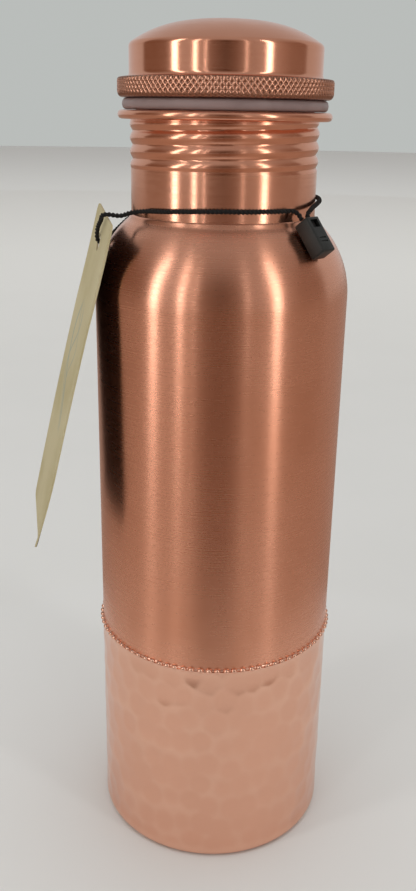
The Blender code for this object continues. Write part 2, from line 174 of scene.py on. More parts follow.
# ---------------------------------------------------------------------------------------------
# Shader arithmetic
# ---------------------------------------------------------------------------------------------


class Value:
    """A number socket of a node tree that takes part in Python arithmetic."""

    def __init__(self, nodes: "Nodes", socket: bpy.types.NodeSocket) -> None:
        """Wrap an output socket.

        Args:
            nodes: The node tree's builder.
            socket: The output socket that holds the number.
        """
        self.nodes = nodes
        self.socket = socket

    def _math(self, operation: str, *others: object) -> "Value":
        """Add a Math node that works on this value and up to two more."""
        inputs = {index: item for index, item in enumerate((self, *others))}
        return self.nodes.number("ShaderNodeMath", {"operation": operation}, inputs)

    def _swapped(self, operation: str, other: object) -> "Value":
        """Add a Math node with the other value first."""
        return self.nodes.number("ShaderNodeMath", {"operation": operation}, {0: other, 1: self})

    def __add__(self, other: object) -> "Value":
        """Sum."""
        return self._math("ADD", other)

    __radd__ = __add__

    def __sub__(self, other: object) -> "Value":
        """Difference."""
        return self._math("SUBTRACT", other)

    def __rsub__(self, other: object) -> "Value":
        """Difference with the other value first."""
        return self._swapped("SUBTRACT", other)

    def __mul__(self, other: object) -> "Value":
        """Product."""
        return self._math("MULTIPLY", other)

    __rmul__ = __mul__

    def __truediv__(self, other: object) -> "Value":
        """Quotient."""
        return self._math("DIVIDE", other)

    def __rtruediv__(self, other: object) -> "Value":
        """Quotient with the other value first."""
        return self._swapped("DIVIDE", other)

    def __abs__(self) -> "Value":
        """Size without sign."""
        return self._math("ABSOLUTE")

    def sine(self) -> "Value":
        """Sine of an angle in radians."""
        return self._math("SINE")

    def root(self) -> "Value":
        """Square root."""
        return self._math("SQRT")

    def least(self, other: object) -> "Value":
        """The smaller of two values."""
        return self._math("MINIMUM", other)

    def most(self, other: object) -> "Value":
        """The larger of two values."""
        return self._math("MAXIMUM", other)

    def bearing(self, other: "Value") -> "Value":
        """Angle of the point (other, self) round the origin."""
        return self._math("ARCTAN2", other)

    def between(self, low: float, high: float) -> "Value":
        """0 below low and 1 above high, with a smooth rise between them."""
        settings = {"interpolation_type": "SMOOTHSTEP"}
        return self.nodes.number("ShaderNodeMapRange", settings, {0: self, 1: low, 2: high})


class Nodes:
    """Builds the nodes of one material or world."""

    def __init__(self, owner: bpy.types.ID) -> None:
        """Take the owner's node tree.

        Args:
            owner: A material or a world, whose default nodes are kept.
        """
        owner.use_nodes = True
        self.tree = owner.node_tree

    def node(self, kind: str, settings: dict[str, object], inputs: dict[object, object]) -> bpy.types.Node:
        """Add a node.

        Args:
            kind: The node's type name.
            settings: Attributes that are set first; "stops" fills a colour ramp.
            inputs: Values or links by socket name or number.

        Returns:
            The node.
        """
        made = self.tree.nodes.new(kind)
        for name, value in settings.items():
            if name == "stops":
                self._fill_ramp(made.color_ramp, value)
            else:
                setattr(made, name, value)
        for name, value in inputs.items():
            self.feed(made.inputs[name], value)
        return made

    @staticmethod
    def _fill_ramp(ramp: bpy.types.ColorRamp, stops: Sequence[tuple[float, Colour]]) -> None:
        """Give a colour ramp its stops, as (place, colour) pairs."""
        while len(ramp.elements) < len(stops):
            ramp.elements.new(0.5)
        for element, (place, colour) in zip(ramp.elements, stops):
            element.position = place
            element.color = (*colour, 1.0)

    def feed(self, socket: bpy.types.NodeSocket, value: object) -> None:
        """Link a socket or set its value.

        Args:
            socket: The input socket.
            value: A Value, an output socket, or a constant.
        """
        if isinstance(value, Value):
            self.tree.links.new(value.socket, socket)
        elif isinstance(value, bpy.types.NodeSocket):
            self.tree.links.new(value, socket)
        elif isinstance(value, tuple) and len(value) == 3 and len(socket.default_value) == 4:
            socket.default_value = (*value, 1.0)
        else:
            socket.default_value = value

    def number(self, kind: str, settings: dict[str, object], inputs: dict[object, object]) -> Value:
        """Add a node and wrap its first output as a number."""
        return Value(self, self.node(kind, settings, inputs).outputs[0])

    def place(self) -> tuple[Value, Value, Value]:
        """The x, y and z of the point on the piece, in metres."""
        source = self.node("ShaderNodeTexCoord", {}, {})
        parts = self.node("ShaderNodeSeparateXYZ", {}, {0: source.outputs["Object"]})
        return tuple(Value(self, socket) for socket in parts.outputs)

    def flat(self) -> tuple[Value, Value]:
        """The two coordinates of the piece's own map."""
        source = self.node("ShaderNodeTexCoord", {}, {})
        parts = self.node("ShaderNodeSeparateXYZ", {}, {0: source.outputs["UV"]})
        return Value(self, parts.outputs[0]), Value(self, parts.outputs[1])

    def vector(self, x: object, y: object, z: object) -> bpy.types.NodeSocket:
        """A vector of three numbers."""
        return self.node("ShaderNodeCombineXYZ", {}, {0: x, 1: y, 2: z}).outputs[0]

    def noise(self, where: bpy.types.NodeSocket, scale: float, detail: float, rough: float = 0.5) -> Value:
        """Noise from 0 to 1 at a scale."""
        inputs = {"Vector": where, "Scale": scale, "Detail": detail, "Roughness": rough}
        return self.number("ShaderNodeTexNoise", {}, inputs)

    def mix(self, share: object, first: object, second: object) -> bpy.types.NodeSocket:
        """A colour between two others."""
        settings = {"data_type": "RGBA"}
        made = self.node("ShaderNodeMix", settings, {0: share})
        self.feed(made.inputs[6], first)
        self.feed(made.inputs[7], second)
        return made.outputs[2]

    def bump(self, height: Value, depth: float) -> bpy.types.NodeSocket:
        """A normal that follows a height from 0 to 1 over a depth in metres."""
        inputs = {"Strength": 1.0, "Distance": depth, "Height": height}
        return self.node("ShaderNodeBump", {}, inputs).outputs[0]


# ---------------------------------------------------------------------------------------------
# Finishes
# ---------------------------------------------------------------------------------------------


def start_material(name: str) -> tuple[bpy.types.Material, Nodes, bpy.types.Node]:
    """A new material, the builder of its nodes, and its Principled shader."""
    made = bpy.data.materials.new(name)
    return made, Nodes(made), made.node_tree.nodes["Principled BSDF"]


class Grain(Enum):
    """How the last tool left its lines on the metal."""

    BRUSHED = "fine lines round the wall"
    TURNED = "fine lines round the wall and over the crown"
    HAMMERED = "soft satin with hardly any lines"


@dataclass(frozen=True)
class Finish:
    """What every finish shares.

    Attributes:
        slot: The record's material slot.
        colour: Its main colour.
    """

    slot: str
    colour: Colour

    def build(self) -> bpy.types.Material:
        """Make the material.

        Returns:
            The material.
        """
        made, nodes, shader = start_material(self.slot)
        self.paint(nodes, shader)
        return made

    def paint(self, nodes: Nodes, shader: bpy.types.Node) -> None:
        """Feed the shader; each finish has its own way."""
        raise NotImplementedError


@dataclass(frozen=True)
class CopperFinish(Finish):
    """Bare copper.

    Attributes:
        aged: The colour where it has darkened a little.
        roughness: Roughness of the clean metal.
        stretch: How far highlights stretch across the tool's lines, from 0 to 1.
        line: Distance between the tool's lines.
        depth: Depth of the lines.
        grain: Which tool finished it.
        pit_radius: Radius of the wall whose pits are painted with shade, or 0 for a wall without pits.
        pit_depth: Depth of those pits.
        pit_shade: How bright the painted shade in the pits is, as a share of the aged colour.
    """

    aged: Colour
    roughness: float
    stretch: float
    line: float
    depth: float
    grain: Grain
    pit_radius: float = 0.0
    pit_depth: float = 0.42 * MM
    pit_shade: float = 0.5

    def paint(self, nodes: Nodes, shader: bpy.types.Node) -> None:
        """Feed the shader."""
        x, y, z = nodes.place()
        along = z
        if self.grain is Grain.TURNED:
            along = z - (x * x + y * y).root()
        lines = nodes.noise(nodes.vector(x * 30.0, y * 30.0, along / self.line), 1.0, 3.0, 0.6)
        fine = nodes.noise(nodes.vector(x * 90.0, y * 90.0, along / (self.line * 0.35)), 1.0, 2.0, 0.6)
        cloud = nodes.noise(nodes.vector(x, y, z * 0.6), 38.0, 3.0, 0.55)
        speck = nodes.noise(nodes.vector(x, y, z), 900.0, 2.0, 0.6)
        if self.grain is Grain.HAMMERED:
            lines = nodes.noise(nodes.vector(x, y, z), 1.0 / self.line, 3.0, 0.6)
        tone = cloud.between(0.4, 0.75) * 0.6 + lines.between(0.45, 0.8) * 0.2 + fine.between(0.5, 0.8) * 0.1
        colour = nodes.mix(tone.least(1.0), self.colour, self.aged)
        # Painted shade: points in the dents and pits, below the wall's radius, take a darker copy of the aged colour.
        if self.pit_radius:
            reach = (x * x + y * y).root()
            deep, shallow = (self.pit_radius - self.pit_depth * share for share in (0.8, 0.1))
            unshaded_share = reach.between(deep, shallow)
            colour = nodes.mix(unshaded_share, tuple(part * self.pit_shade for part in self.aged), colour)
        nodes.feed(shader.inputs["Base Color"], colour)
        rough = self.roughness + (cloud - 0.5) * 0.1 + (lines - 0.5) * 0.12 + (speck - 0.5) * 0.05
        nodes.feed(shader.inputs["Roughness"], rough.most(0.05))
        height = lines * 0.6 + fine * 0.4
        if self.grain is Grain.HAMMERED:
            height = lines * 0.3 + speck * 0.7
        nodes.feed(shader.inputs["Normal"], nodes.bump(height, self.depth))
        shader.inputs["Metallic"].default_value = 1.0
        shader.inputs["Anisotropic"].default_value = self.stretch
        shader.inputs["Anisotropic Rotation"].default_value = 0.25


@dataclass(frozen=True)
class SiliconeFinish(Finish):
    """Soft translucent silicone."""

    depth_colour: Colour

    def paint(self, nodes: Nodes, shader: bpy.types.Node) -> None:
        """Feed the shader."""
        x, y, z = nodes.place()
        cloud = nodes.noise(nodes.vector(x, y, z), 120.0, 3.0)
        colour = nodes.mix(cloud.between(0.35, 0.7), self.colour, self.depth_colour)
        nodes.feed(shader.inputs["Base Color"], colour)
        nodes.feed(shader.inputs["Roughness"], 0.36 + cloud * 0.14)
        skin = nodes.noise(nodes.vector(x, y, z), 1800.0, 2.0)
        nodes.feed(shader.inputs["Normal"], nodes.bump(skin, 0.02 * MM))
        shader.inputs["Subsurface Weight"].default_value = 0.35
        shader.inputs["Subsurface Radius"].default_value = (0.004, 0.003, 0.003)
        shader.inputs["Subsurface Scale"].default_value = 0.6
        shader.inputs["IOR"].default_value = 1.42


@dataclass(frozen=True)
class CardFinish(Finish):
    """Uncoated cream card with a pale scroll printed on it."""

    shade: Colour
    ink: Colour
    back: Colour

    @staticmethod
    def _facing(nodes: Nodes) -> Value:
        """1 on the card's outer face and edges and 0 on its inner face, from an attribute."""
        return nodes.number("ShaderNodeAttribute", {"attribute_name": "outer"}, {})

    def _scroll(self, nodes: Nodes, across: Value, down: Value) -> Value:
        """The printed scroll: three swinging lines that grow out of one another.

        Args:
            nodes: The tree's builder.
            across: Place across the card, from 0 to 1.
            down: Place down the card, from 0 to 1.

        Returns:
            1 on the ink and 0 elsewhere.
        """
        ink: Value | None = None
        strokes = (
            (0.50, 0.20, 11.0, 0.4, 0.016),
            (0.46, 0.15, 19.0, 1.9, 0.011),
            (0.56, 0.10, 27.0, 3.4, 0.008),
        )
        for middle, swing, turns, start, width in strokes:
            wave = (down * turns + start).sine() * swing + middle
            off = abs(across - wave)
            stroke = 1.0 - off.between(width * 0.6, width * 1.6)
            ink = stroke if ink is None else ink.most(stroke)
        inside = down.between(0.24, 0.32) * (1.0 - down.between(0.60, 0.68))
        return ink * inside * across.between(0.1, 0.16) * (1.0 - across.between(0.84, 0.9))

    def paint(self, nodes: Nodes, shader: bpy.types.Node) -> None:
        """Feed the shader."""
        across, down = nodes.flat()
        x, y, z = nodes.place()
        cloud = nodes.noise(nodes.vector(x, y, z), 45.0, 4.0)
        fibre = nodes.noise(nodes.vector(x, y, z), 1500.0, 3.0, 0.7)
        paper = nodes.mix(cloud.between(0.35, 0.75), self.colour, self.shade)
        ink = self._scroll(nodes, across, down) * (0.55 + fibre * 0.35)
        face = self._facing(nodes)
        nodes.feed(shader.inputs["Base Color"], nodes.mix(face, self.back, nodes.mix(ink, paper, self.ink)))
        nodes.feed(shader.inputs["Roughness"], 0.66 + fibre * 0.2)
        nodes.feed(shader.inputs["Normal"], nodes.bump(fibre, 0.03 * MM))
        shader.inputs["Specular IOR Level"].default_value = 0.35


@dataclass(frozen=True)
class PlainFinish(Finish):
    """Black plastic or black thread.

    Attributes:
        worn: Colour of the lighter patches.
        roughness: Main roughness.
        speck: Noise scale of its fine grain.
        depth: Depth of the grain.
        sheen: How much fuzz lights up at grazing angles.
    """

    worn: Colour
    roughness: float
    speck: float
    depth: float
    sheen: float = 0.0

    def paint(self, nodes: Nodes, shader: bpy.types.Node) -> None:
        """Feed the shader."""
        where = nodes.vector(*nodes.place())
        cloud = nodes.noise(where, 260.0, 3.0)
        grain = nodes.noise(where, self.speck, 3.0, 0.65)
        share = cloud.between(0.45, 0.75) * 0.5 + grain.between(0.55, 0.8) * 0.5
        nodes.feed(shader.inputs["Base Color"], nodes.mix(share, self.colour, self.worn))
        nodes.feed(shader.inputs["Roughness"], self.roughness + (grain - 0.5) * 0.2)
        nodes.feed(shader.inputs["Normal"], nodes.bump(grain, self.depth))
        shader.inputs["Sheen Weight"].default_value = self.sheen


COPPER: Colour = (0.87, 0.43, 0.29)
COPPER_AGED: Colour = (0.74, 0.33, 0.20)

BRUSHED = CopperFinish(
    "brushed_copper", COPPER, COPPER_AGED, 0.28, 0.86, 0.36 * MM, 0.010 * MM, Grain.BRUSHED
)
POLISHED = CopperFinish(
    "polished_copper", COPPER, COPPER_AGED, 0.20, 0.6, 0.4 * MM, 0.012 * MM, Grain.BRUSHED
)
HAMMERED = CopperFinish(
    slot="hammered_copper",
    colour=(0.88, 0.51, 0.37),
    aged=(0.82, 0.45, 0.32),
    roughness=0.19,
    stretch=0.0,
    line=0.6 * MM,
    depth=0.008 * MM,
    grain=Grain.HAMMERED,
    # Painted shade in the hammer's dents, a little darker than the rest of the wall.
    pit_radius=37.7 * MM,
    pit_depth=0.30 * MM,
    pit_shade=1.02,
)
SEAM = CopperFinish(
    slot="seam_copper",
    colour=(0.92, 0.56, 0.42),
    aged=(0.84, 0.46, 0.33),
    roughness=0.22,
    stretch=0.0,
    line=0.5 * MM,
    depth=0.006 * MM,
    grain=Grain.HAMMERED,
)
CAP = CopperFinish("cap_copper", COPPER, COPPER_AGED, 0.17, 0.75, 0.35 * MM, 0.012 * MM, Grain.TURNED)
KNURLED = CopperFinish(
    slot="knurled_copper",
    colour=(0.90, 0.50, 0.36),
    aged=(0.74, 0.36, 0.24),
    roughness=0.22,
    stretch=0.0,
    line=0.3 * MM,
    depth=0.006 * MM,
    grain=Grain.HAMMERED,
    # Painted shade in the knurl's pits, at half the aged colour.
    pit_radius=30.2 * MM,
)
PLUG = CopperFinish("plug_copper", COPPER, COPPER_AGED, 0.32, 0.6, 0.4 * MM, 0.01 * MM, Grain.BRUSHED)
FLOOR_DISC = CopperFinish(
    "plug_floor_copper", COPPER, COPPER_AGED, 0.32, 0.5, 0.4 * MM, 0.01 * MM, Grain.TURNED
)
SILICONE = SiliconeFinish("gasket_silicone", (0.31, 0.225, 0.215), (0.25, 0.18, 0.175))
CARD = CardFinish(
    slot="tag_card",
    colour=(0.56, 0.50, 0.31),
    shade=(0.47, 0.41, 0.22),
    ink=(0.24, 0.33, 0.33),
    back=(0.030, 0.022, 0.016),
)
PLASTIC = PlainFinish(
    "lock_plastic", (0.009, 0.011, 0.010), (0.018, 0.022, 0.019), 0.45, 2200.0, 0.015 * MM
)
PLUG_PLASTIC = PlainFinish(
    "lock_plug_plastic", (0.02, 0.02, 0.02), (0.035, 0.035, 0.035), 0.5, 2200.0, 0.015 * MM
)
THREAD = PlainFinish(
    "cord_black", (0.004, 0.004, 0.004), (0.010, 0.010, 0.010), 0.8, 5200.0, 0.05 * MM, sheen=0.03
)


# ---------------------------------------------------------------------------------------------
# The bench: modelling steps that every piece uses
# ---------------------------------------------------------------------------------------------


class Bench:
    """Modelling steps with Blender's own operators."""

    @staticmethod
    def clear() -> None:
        """Deselect every object."""
        bpy.ops.object.select_all(action="DESELECT")

    @staticmethod
    def take(item: bpy.types.Object) -> None:
        """Select one object alone and make it active."""
        Bench.clear()
        item.select_set(True)
        bpy.context.view_layer.objects.active = item

    @staticmethod
    def select_points() -> None:
        """Select every point of the mesh that is being edited."""
        bpy.ops.mesh.select_all(action="SELECT")

    @staticmethod
    def edit() -> None:
        """Start to edit the active object's mesh, with every point selected."""
        bpy.ops.object.mode_set(mode="EDIT")
        Bench.select_points()

    @staticmethod
    def name(item: bpy.types.Object, name: str) -> bpy.types.Object:
        """Name an object and its mesh."""
        item.name = name
        item.data.name = name
        return item

    @staticmethod
    def turn(name: str, profile: Sequence[Point], segments: int) -> bpy.types.Object:
        """Spin a profile of (radius, height) points round Z.

        Args:
            name: The piece's name.
            profile: Points in metres; a profile that doesn't start on the axis is closed first.
            segments: Steps in a full turn.

        Returns:
            The closed piece, with its faces outwards.
        """
        Bench.clear()
        bpy.ops.mesh.primitive_plane_add(size=MM, location=(0.0, 0.0, 0.0))
        item = Bench.name(bpy.context.active_object, name)
        Bench.edit()
        bpy.ops.mesh.merge(type="CENTER")
        bpy.ops.transform.translate(value=(profile[0][0], 0.0, profile[0][1]))
        for start, end in zip(profile, profile[1:]):
            step = (end[0] - start[0], 0.0, end[1] - start[1])
            bpy.ops.mesh.extrude_region_move(TRANSFORM_OT_translate={"value": step})
        if profile[0][0] > 0.0:
            step = (profile[0][0] - profile[-1][0], 0.0, profile[0][1] - profile[-1][1])
            bpy.ops.mesh.extrude_region_move(TRANSFORM_OT_translate={"value": step})
        Bench.select_points()
        bpy.ops.mesh.remove_doubles(threshold=1e-6)
        Bench.select_points()
        bpy.ops.mesh.spin(steps=segments, angle=TAU, center=(0.0, 0.0, 0.0), axis=(0.0, 0.0, 1.0))
        Bench.select_points()
        bpy.ops.mesh.remove_doubles(threshold=1e-6)
        bpy.ops.mesh.normals_make_consistent(inside=False)
        bpy.ops.object.mode_set(mode="OBJECT")
        return item

    @staticmethod
    def swell(item: bpy.types.Object, rule: Swell) -> None:
        """Move every point of a turned piece in or out.

        Args:
            item: The piece.
            rule: Gives the change of radius from arrays of radius, angle and height.
        """
        mesh = item.data
        places = np.empty(len(mesh.vertices) * 3)
        mesh.vertices.foreach_get("co", places)
        places = places.reshape(-1, 3)
        radius = np.hypot(places[:, 0], places[:, 1])
        angle = np.arctan2(places[:, 1], places[:, 0])
        reach = radius + rule(radius, angle, places[:, 2])
        off_axis = radius > 1e-6
        share = np.where(off_axis, reach / np.maximum(radius, 1e-6), 1.0)
        places[:, 0] *= share
        places[:, 1] *= share
        mesh.vertices.foreach_set("co", places.ravel())
        mesh.update()

    @staticmethod
    def bevel(item: bpy.types.Object, width: float, segments: int) -> None:
        """Round a piece's edges."""
        Bench.take(item)
        rounding = item.modifiers.new("rounding", "BEVEL")
        rounding.width = width
        rounding.segments = segments
        rounding.limit_method = "ANGLE"
        bpy.ops.object.modifier_apply(modifier="rounding")

    @staticmethod
    def cut(item: bpy.types.Object, tool: bpy.types.Object) -> None:
        """Take a tool away from a piece and throw the tool away."""
        Bench.take(item)
        boolean = item.modifiers.new("cut", "BOOLEAN")
        boolean.operation = "DIFFERENCE"
        boolean.object = tool
        bpy.ops.object.modifier_apply(modifier="cut")
        bpy.data.objects.remove(tool, do_unlink=True)

    @staticmethod
    def settle(item: bpy.types.Object, place: Matrix) -> None:
        """Put a piece at its place and apply it, so that the object sits at the origin."""
        item.data.transform(place)
        item.matrix_world = Matrix.Identity(4)
        item.data.update()

    @staticmethod
    def box(name: str, size: Point, centre: Point) -> bpy.types.Object:
        """A box of a size round a centre."""
        Bench.clear()
        bpy.ops.mesh.primitive_cube_add(size=1.0)
        item = Bench.name(bpy.context.active_object, name)
        Bench.settle(item, Matrix.Translation(centre) @ Matrix.Diagonal((*size, 1.0)))
        return item

    @staticmethod
    def dress(item: bpy.types.Object, degrees: float, finish: Finish, body: str, *nodes: str) -> None:
        """Shade a piece smooth and give it its finish, its body and the frame pieces it stands for.

        Args:
            item: The piece.
            degrees: The sharpest angle that is still shaded smooth.
            finish: Its finish.
            body: The body it rides on.
            nodes: The frame's pieces that it replaces.
        """
        Bench.take(item)
        bpy.ops.object.shade_smooth_by_angle(angle=math.radians(degrees))
        item.data.materials.clear()
        item.data.materials.append(finish.build())
        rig.ride(item, body)
        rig.replaces(item, *nodes)
        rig.slot(item, finish.slot)
        log.info("%s: %d faces, rides on %s", item.name, len(item.data.polygons), body)


def arc(centre: Point, radius: float, start: float, end: float, steps: int) -> list[Point]:
    """Points of a circular arc in a profile, with angles in degrees from +r towards +z."""
    points = []
    for step in range(steps + 1):
        angle = math.radians(start + (end - start) * step / steps)
        points.append((centre[0] + radius * math.cos(angle), centre[1] + radius * math.sin(angle)))
    return points


def wall(radius: float, low: float, high: float, rows: int) -> list[Point]:
    """Evenly spaced points up, or down, a straight wall."""
    return [(radius, low + (high - low) * row / rows) for row in range(rows + 1)]


def smoothstep(share: np.ndarray) -> np.ndarray:
    """0 to 1 with a soft start and end."""
    share = np.clip(share, 0.0, 1.0)
    return share * share * (3.0 - 2.0 * share)


# ---------------------------------------------------------------------------------------------
# The bottle
# ---------------------------------------------------------------------------------------------


@dataclass
class Sizes:
    """Sizes that several sub-assemblies share, in metres."""

    body_radius: float = 37.5 * MM
    cup_radius: float = 37.7 * MM
    neck_radius: float = 26.6 * MM
    sheet: float = 0.6 * MM
    seam_height: float = 71.5 * MM
    neck_foot: float = 201.5 * MM
    rim_top: float = 230.6 * MM
    rim_height: float = 2.4 * MM
    rim_overhang: float = 3.55 * MM
    bend: float = 28.0 * MM
    run_in: float = 1.3 * MM
    lip: float = 1.0 * MM
    gap: float = 0.3 * MM
    pitch: float = 3.7 * MM
    turns: float = 3.6
    groove: float = 0.55 * MM
    ridge: float = 0.2 * MM
    phase: float = 221.35 * MM
    fade: float = 1.6 * MM
    thread_clearance: float = 0.4 * MM

    @property
    def thread_top(self) -> float:
        """Height at which the thread ends under the rim."""
        return self.rim_top - self.rim_height

    @property
    def thread_bottom(self) -> float:
        """Height at which the thread starts."""
        return self.thread_top - self.turns * self.pitch

    @property
    def shoulder_reach(self) -> float:
        """Angle over which the shoulder bends, in radians."""
        end_radius = self.neck_radius + self.gap + self.run_in
        return math.acos(1.0 - (self.body_radius - end_radius) / self.bend)

    @property
    def shoulder_centre(self) -> Point:
        """Centre of the shoulder's bend, as (radius, height)."""
        drop = self.bend * math.sin(self.shoulder_reach)
        return self.body_radius - self.bend, self.neck_foot - self.lip - drop

    @property
    def plug_root(self) -> float:
        """Radius of the plug between its threads."""
        return self.neck_radius - self.sheet - self.groove - self.thread_clearance

    def crest(self, angle: np.ndarray, height: np.ndarray) -> np.ndarray:
        """1 on the crest of the right-handed thread and 0 in its groove."""
        wave = np.cos(TAU * ((height - self.phase) / self.pitch - angle / TAU))
        return (0.5 + 0.5 * wave) ** 0.6

    def fading(self, height: np.ndarray, low: float, high: float) -> np.ndarray:
        """1 along the thread, falling softly to 0 at both of its ends."""
        return smoothstep(np.minimum(height - low, high - height) / self.fade)


@dataclass
class Bottle:
    """The spun and hammered copper vessel."""

    sizes: Sizes
    body: str = "bottle"
    segments: int = 200
    dimple_columns: int = 36
    dimple_rows: int = 9
    dimple_depth: float = 0.30 * MM
    dimple_reach: float = 4.9 * MM
    bead_count: int = 90
    bead_height: float = 1.7 * MM
    bead_width: float = 2.0 * MM

    def build(self) -> None:
        """Make every piece of the vessel."""
        self.upper_body()
        self.neck()
        self.lower_cup()
        self.seam_ring()

    def upper_body(self) -> None:
        """The brushed shell with its rounded shoulder and a small fillet at the neck."""
        s = self.sizes
        reach = math.degrees(s.shoulder_reach)
        centre = s.shoulder_centre
        bottom = s.seam_height + 0.55 * MM
        edge = s.neck_radius + 0.03 * MM
        start = arc(centre, s.bend, 0.0, reach, 40)
        last = start[-1]
        fillet = [
            (last[0] - 0.55 * MM, last[1] + 0.45 * MM),
            (last[0] - 0.95 * MM, last[1] + 0.95 * MM),
            (edge + 0.35 * MM, s.neck_foot + 0.55 * MM),
            (edge + 0.12 * MM, s.neck_foot + 0.95 * MM),
            (edge, s.neck_foot + 1.05 * MM),
        ]
        outside = wall(s.body_radius, bottom, centre[1], 60)[:-1] + start + fillet
        inside = [(edge, s.neck_foot - 0.2 * MM)] + arc(centre, s.bend - s.sheet, reach, 0.0, 24)
        inside += [(s.body_radius - s.sheet, bottom)]
        item = Bench.turn("upper_body", outside + inside, self.segments)
        Bench.dress(item, 40.0, BRUSHED, self.body, "upper_body_shell")

    def neck(self) -> None:
        """The neck tube with its rolled thread and its curled rim."""
        s = self.sizes
        bottom = s.neck_foot - 4.0 * MM
        bore = s.neck_radius - s.sheet
        rows = 110
        bead = (s.neck_radius + s.rim_overhang - s.rim_height / 2, s.rim_top - s.rim_height / 2)
        outside = [(s.neck_radius, bottom)] + wall(s.neck_radius, s.neck_foot, s.thread_top, rows)
        root = [(s.neck_radius + 0.25 * MM, s.thread_top + 0.05 * MM)]
        curl = arc(bead, s.rim_height / 2, -90.0, 90.0, 16)
        inside = [(bore + s.sheet, s.rim_top), (bore + 0.2 * MM, s.rim_top - 0.2 * MM)]
        inside += [(bore, s.rim_top - s.sheet)]
        inside += wall(bore, s.thread_top, s.neck_foot, rows) + [(bore, bottom)]
        item = Bench.turn("neck", outside + root + curl + inside, self.segments)

        def rolled(radius: np.ndarray, angle: np.ndarray, height: np.ndarray) -> np.ndarray:
            """The rolled sheet's move off its plain radius."""
            depth = (s.groove + s.ridge) * s.crest(angle, height) - s.groove
            return s.fading(height, s.thread_bottom, s.thread_top) * depth

        Bench.swell(item, rolled)
        Bench.dress(item, 40.0, POLISHED, self.body, "bottle_neck")

    def _dimples(self) -> Swell:
        """The hammer's marks: shallow round dents in rough rows, each row set between its neighbours.

        Returns:
            The rule that moves the cup's outer wall.
        """
        s = self.sizes
        chance = np.random.default_rng(11)
        low, high = 5.0 * MM, s.seam_height - 4.0 * MM
        pitch_up = (high - low) / (self.dimple_rows - 1)
        pitch_round = TAU * s.cup_radius / self.dimple_columns
        centres = []
        for row in range(-1, self.dimple_rows + 1):
            for column in range(self.dimple_columns):
                shift = 0.5 * (row % 2) + chance.uniform(-0.2, 0.2)
                around = (column + shift) * pitch_round
                up = low + row * pitch_up + chance.uniform(-0.28, 0.28) * pitch_up
                centres.append((around, up, chance.uniform(0.7, 1.25), chance.uniform(0.88, 1.12)))
        girth = TAU * s.cup_radius

        def dent(radius: np.ndarray, angle: np.ndarray, height: np.ndarray) -> np.ndarray:
            """How far the wall is driven in, as a negative change of radius."""
            around = (angle % TAU) * s.cup_radius
            deepest = np.zeros_like(radius)
            for centre_round, centre_up, depth, reach in centres:
                across = (around - centre_round + girth / 2) % girth - girth / 2
                square = (across**2 + ((height - centre_up) * 0.9) ** 2) / (self.dimple_reach * reach) ** 2
                deepest = np.maximum(deepest, depth * (1.0 - square))
            outer = radius > s.cup_radius - 0.25 * s.sheet
            ease = smoothstep((height - 1.5 * MM) / (4.0 * MM))
            ease *= smoothstep((high + 4.0 * MM - height) / (3.0 * MM))
            return np.where(outer, -self.dimple_depth * deepest * ease, 0.0)

        return dent

    def lower_cup(self) -> None:
        """The hammered cup with its pushed-in base."""
        s = self.sizes
        corner_radius = 2.6 * MM
        recess_depth = 2.0 * MM
        joggle = s.body_radius - s.sheet - s.gap
        shoulder = s.seam_height - 0.55 * MM
        top = s.seam_height + 5.0 * MM
        corner = (s.cup_radius - corner_radius, corner_radius)
        foot = corner[0] - 5.5 * MM
        recess = foot - recess_depth
        outside = [(0.0, recess_depth), (recess * 0.5, recess_depth), (recess, recess_depth)]
        outside += [(recess + 0.4 * MM, recess_depth - 0.1 * MM), (foot - 0.5 * MM, 0.2 * MM), (foot, 0.0)]
        outside += arc(corner, corner_radius, -90.0, 0.0, 10)
        outside += wall(s.cup_radius, corner_radius, shoulder, 96)[1:]
        outside += [(s.cup_radius - 0.15 * MM, shoulder + 0.12 * MM)]
        outside += [(joggle, shoulder + 0.15 * MM), (joggle, top)]
        inside = [(joggle - s.sheet, top), (joggle - s.sheet, shoulder - s.sheet)]
        inside += [(s.cup_radius - s.sheet, shoulder - s.sheet)]
        inside += arc(corner, corner_radius - s.sheet, 0.0, -90.0, 6)
        inside += [(foot + 0.25 * MM, s.sheet), (recess + 0.25 * MM, recess_depth + s.sheet)]
        inside += [(0.0, recess_depth + s.sheet)]
        item = Bench.turn("hammered_cup", outside + inside, 320)
        Bench.swell(item, self._dimples())
        Bench.dress(item, 40.0, HAMMERED, self.body, "lower_cup")

    def seam_ring(self) -> None:
        """The wire on the seam, rolled into a row of small beads."""
        s = self.sizes
        inner = s.body_radius - s.sheet
        outer = s.cup_radius - 0.1 * MM
        half = 0.5 * MM
        profile = [(inner, s.seam_height - half)] + arc((outer - half, s.seam_height), half, -90.0, 90.0, 6)
        profile += [(inner, s.seam_height + half)]
        ring = Bench.turn("seam_beads", profile, self.bead_count * 2)
        Bench.clear()
        bpy.ops.mesh.primitive_uv_sphere_add(segments=12, ring_count=8, radius=1.0)
        bead = bpy.context.active_object
        Bench.edit()
        bpy.ops.transform.resize(value=(0.95 * MM, self.bead_width / 2, self.bead_height / 2))
        bpy.ops.transform.translate(value=(s.body_radius + 0.05 * MM, 0.0, s.seam_height))
        bpy.ops.object.mode_set(mode="OBJECT")
        chance = np.random.default_rng(5)
        beads = [bead]
        for number in range(1, self.bead_count):
            copy = bead.copy()
            copy.data = bead.data.copy()
            turn = TAU * (number + chance.uniform(-0.08, 0.08)) / self.bead_count
            copy.data.transform(Matrix.Rotation(turn, 4, "Z"))
            bpy.context.scene.collection.objects.link(copy)
            beads.append(copy)
        Bench.take(ring)
        for item in beads:
            item.select_set(True)
        bpy.ops.object.join()
        Bench.dress(ring, 50.0, SEAM, self.body, "seam_bead_ring")


# ---------------------------------------------------------------------------------------------
# The cap
# ---------------------------------------------------------------------------------------------


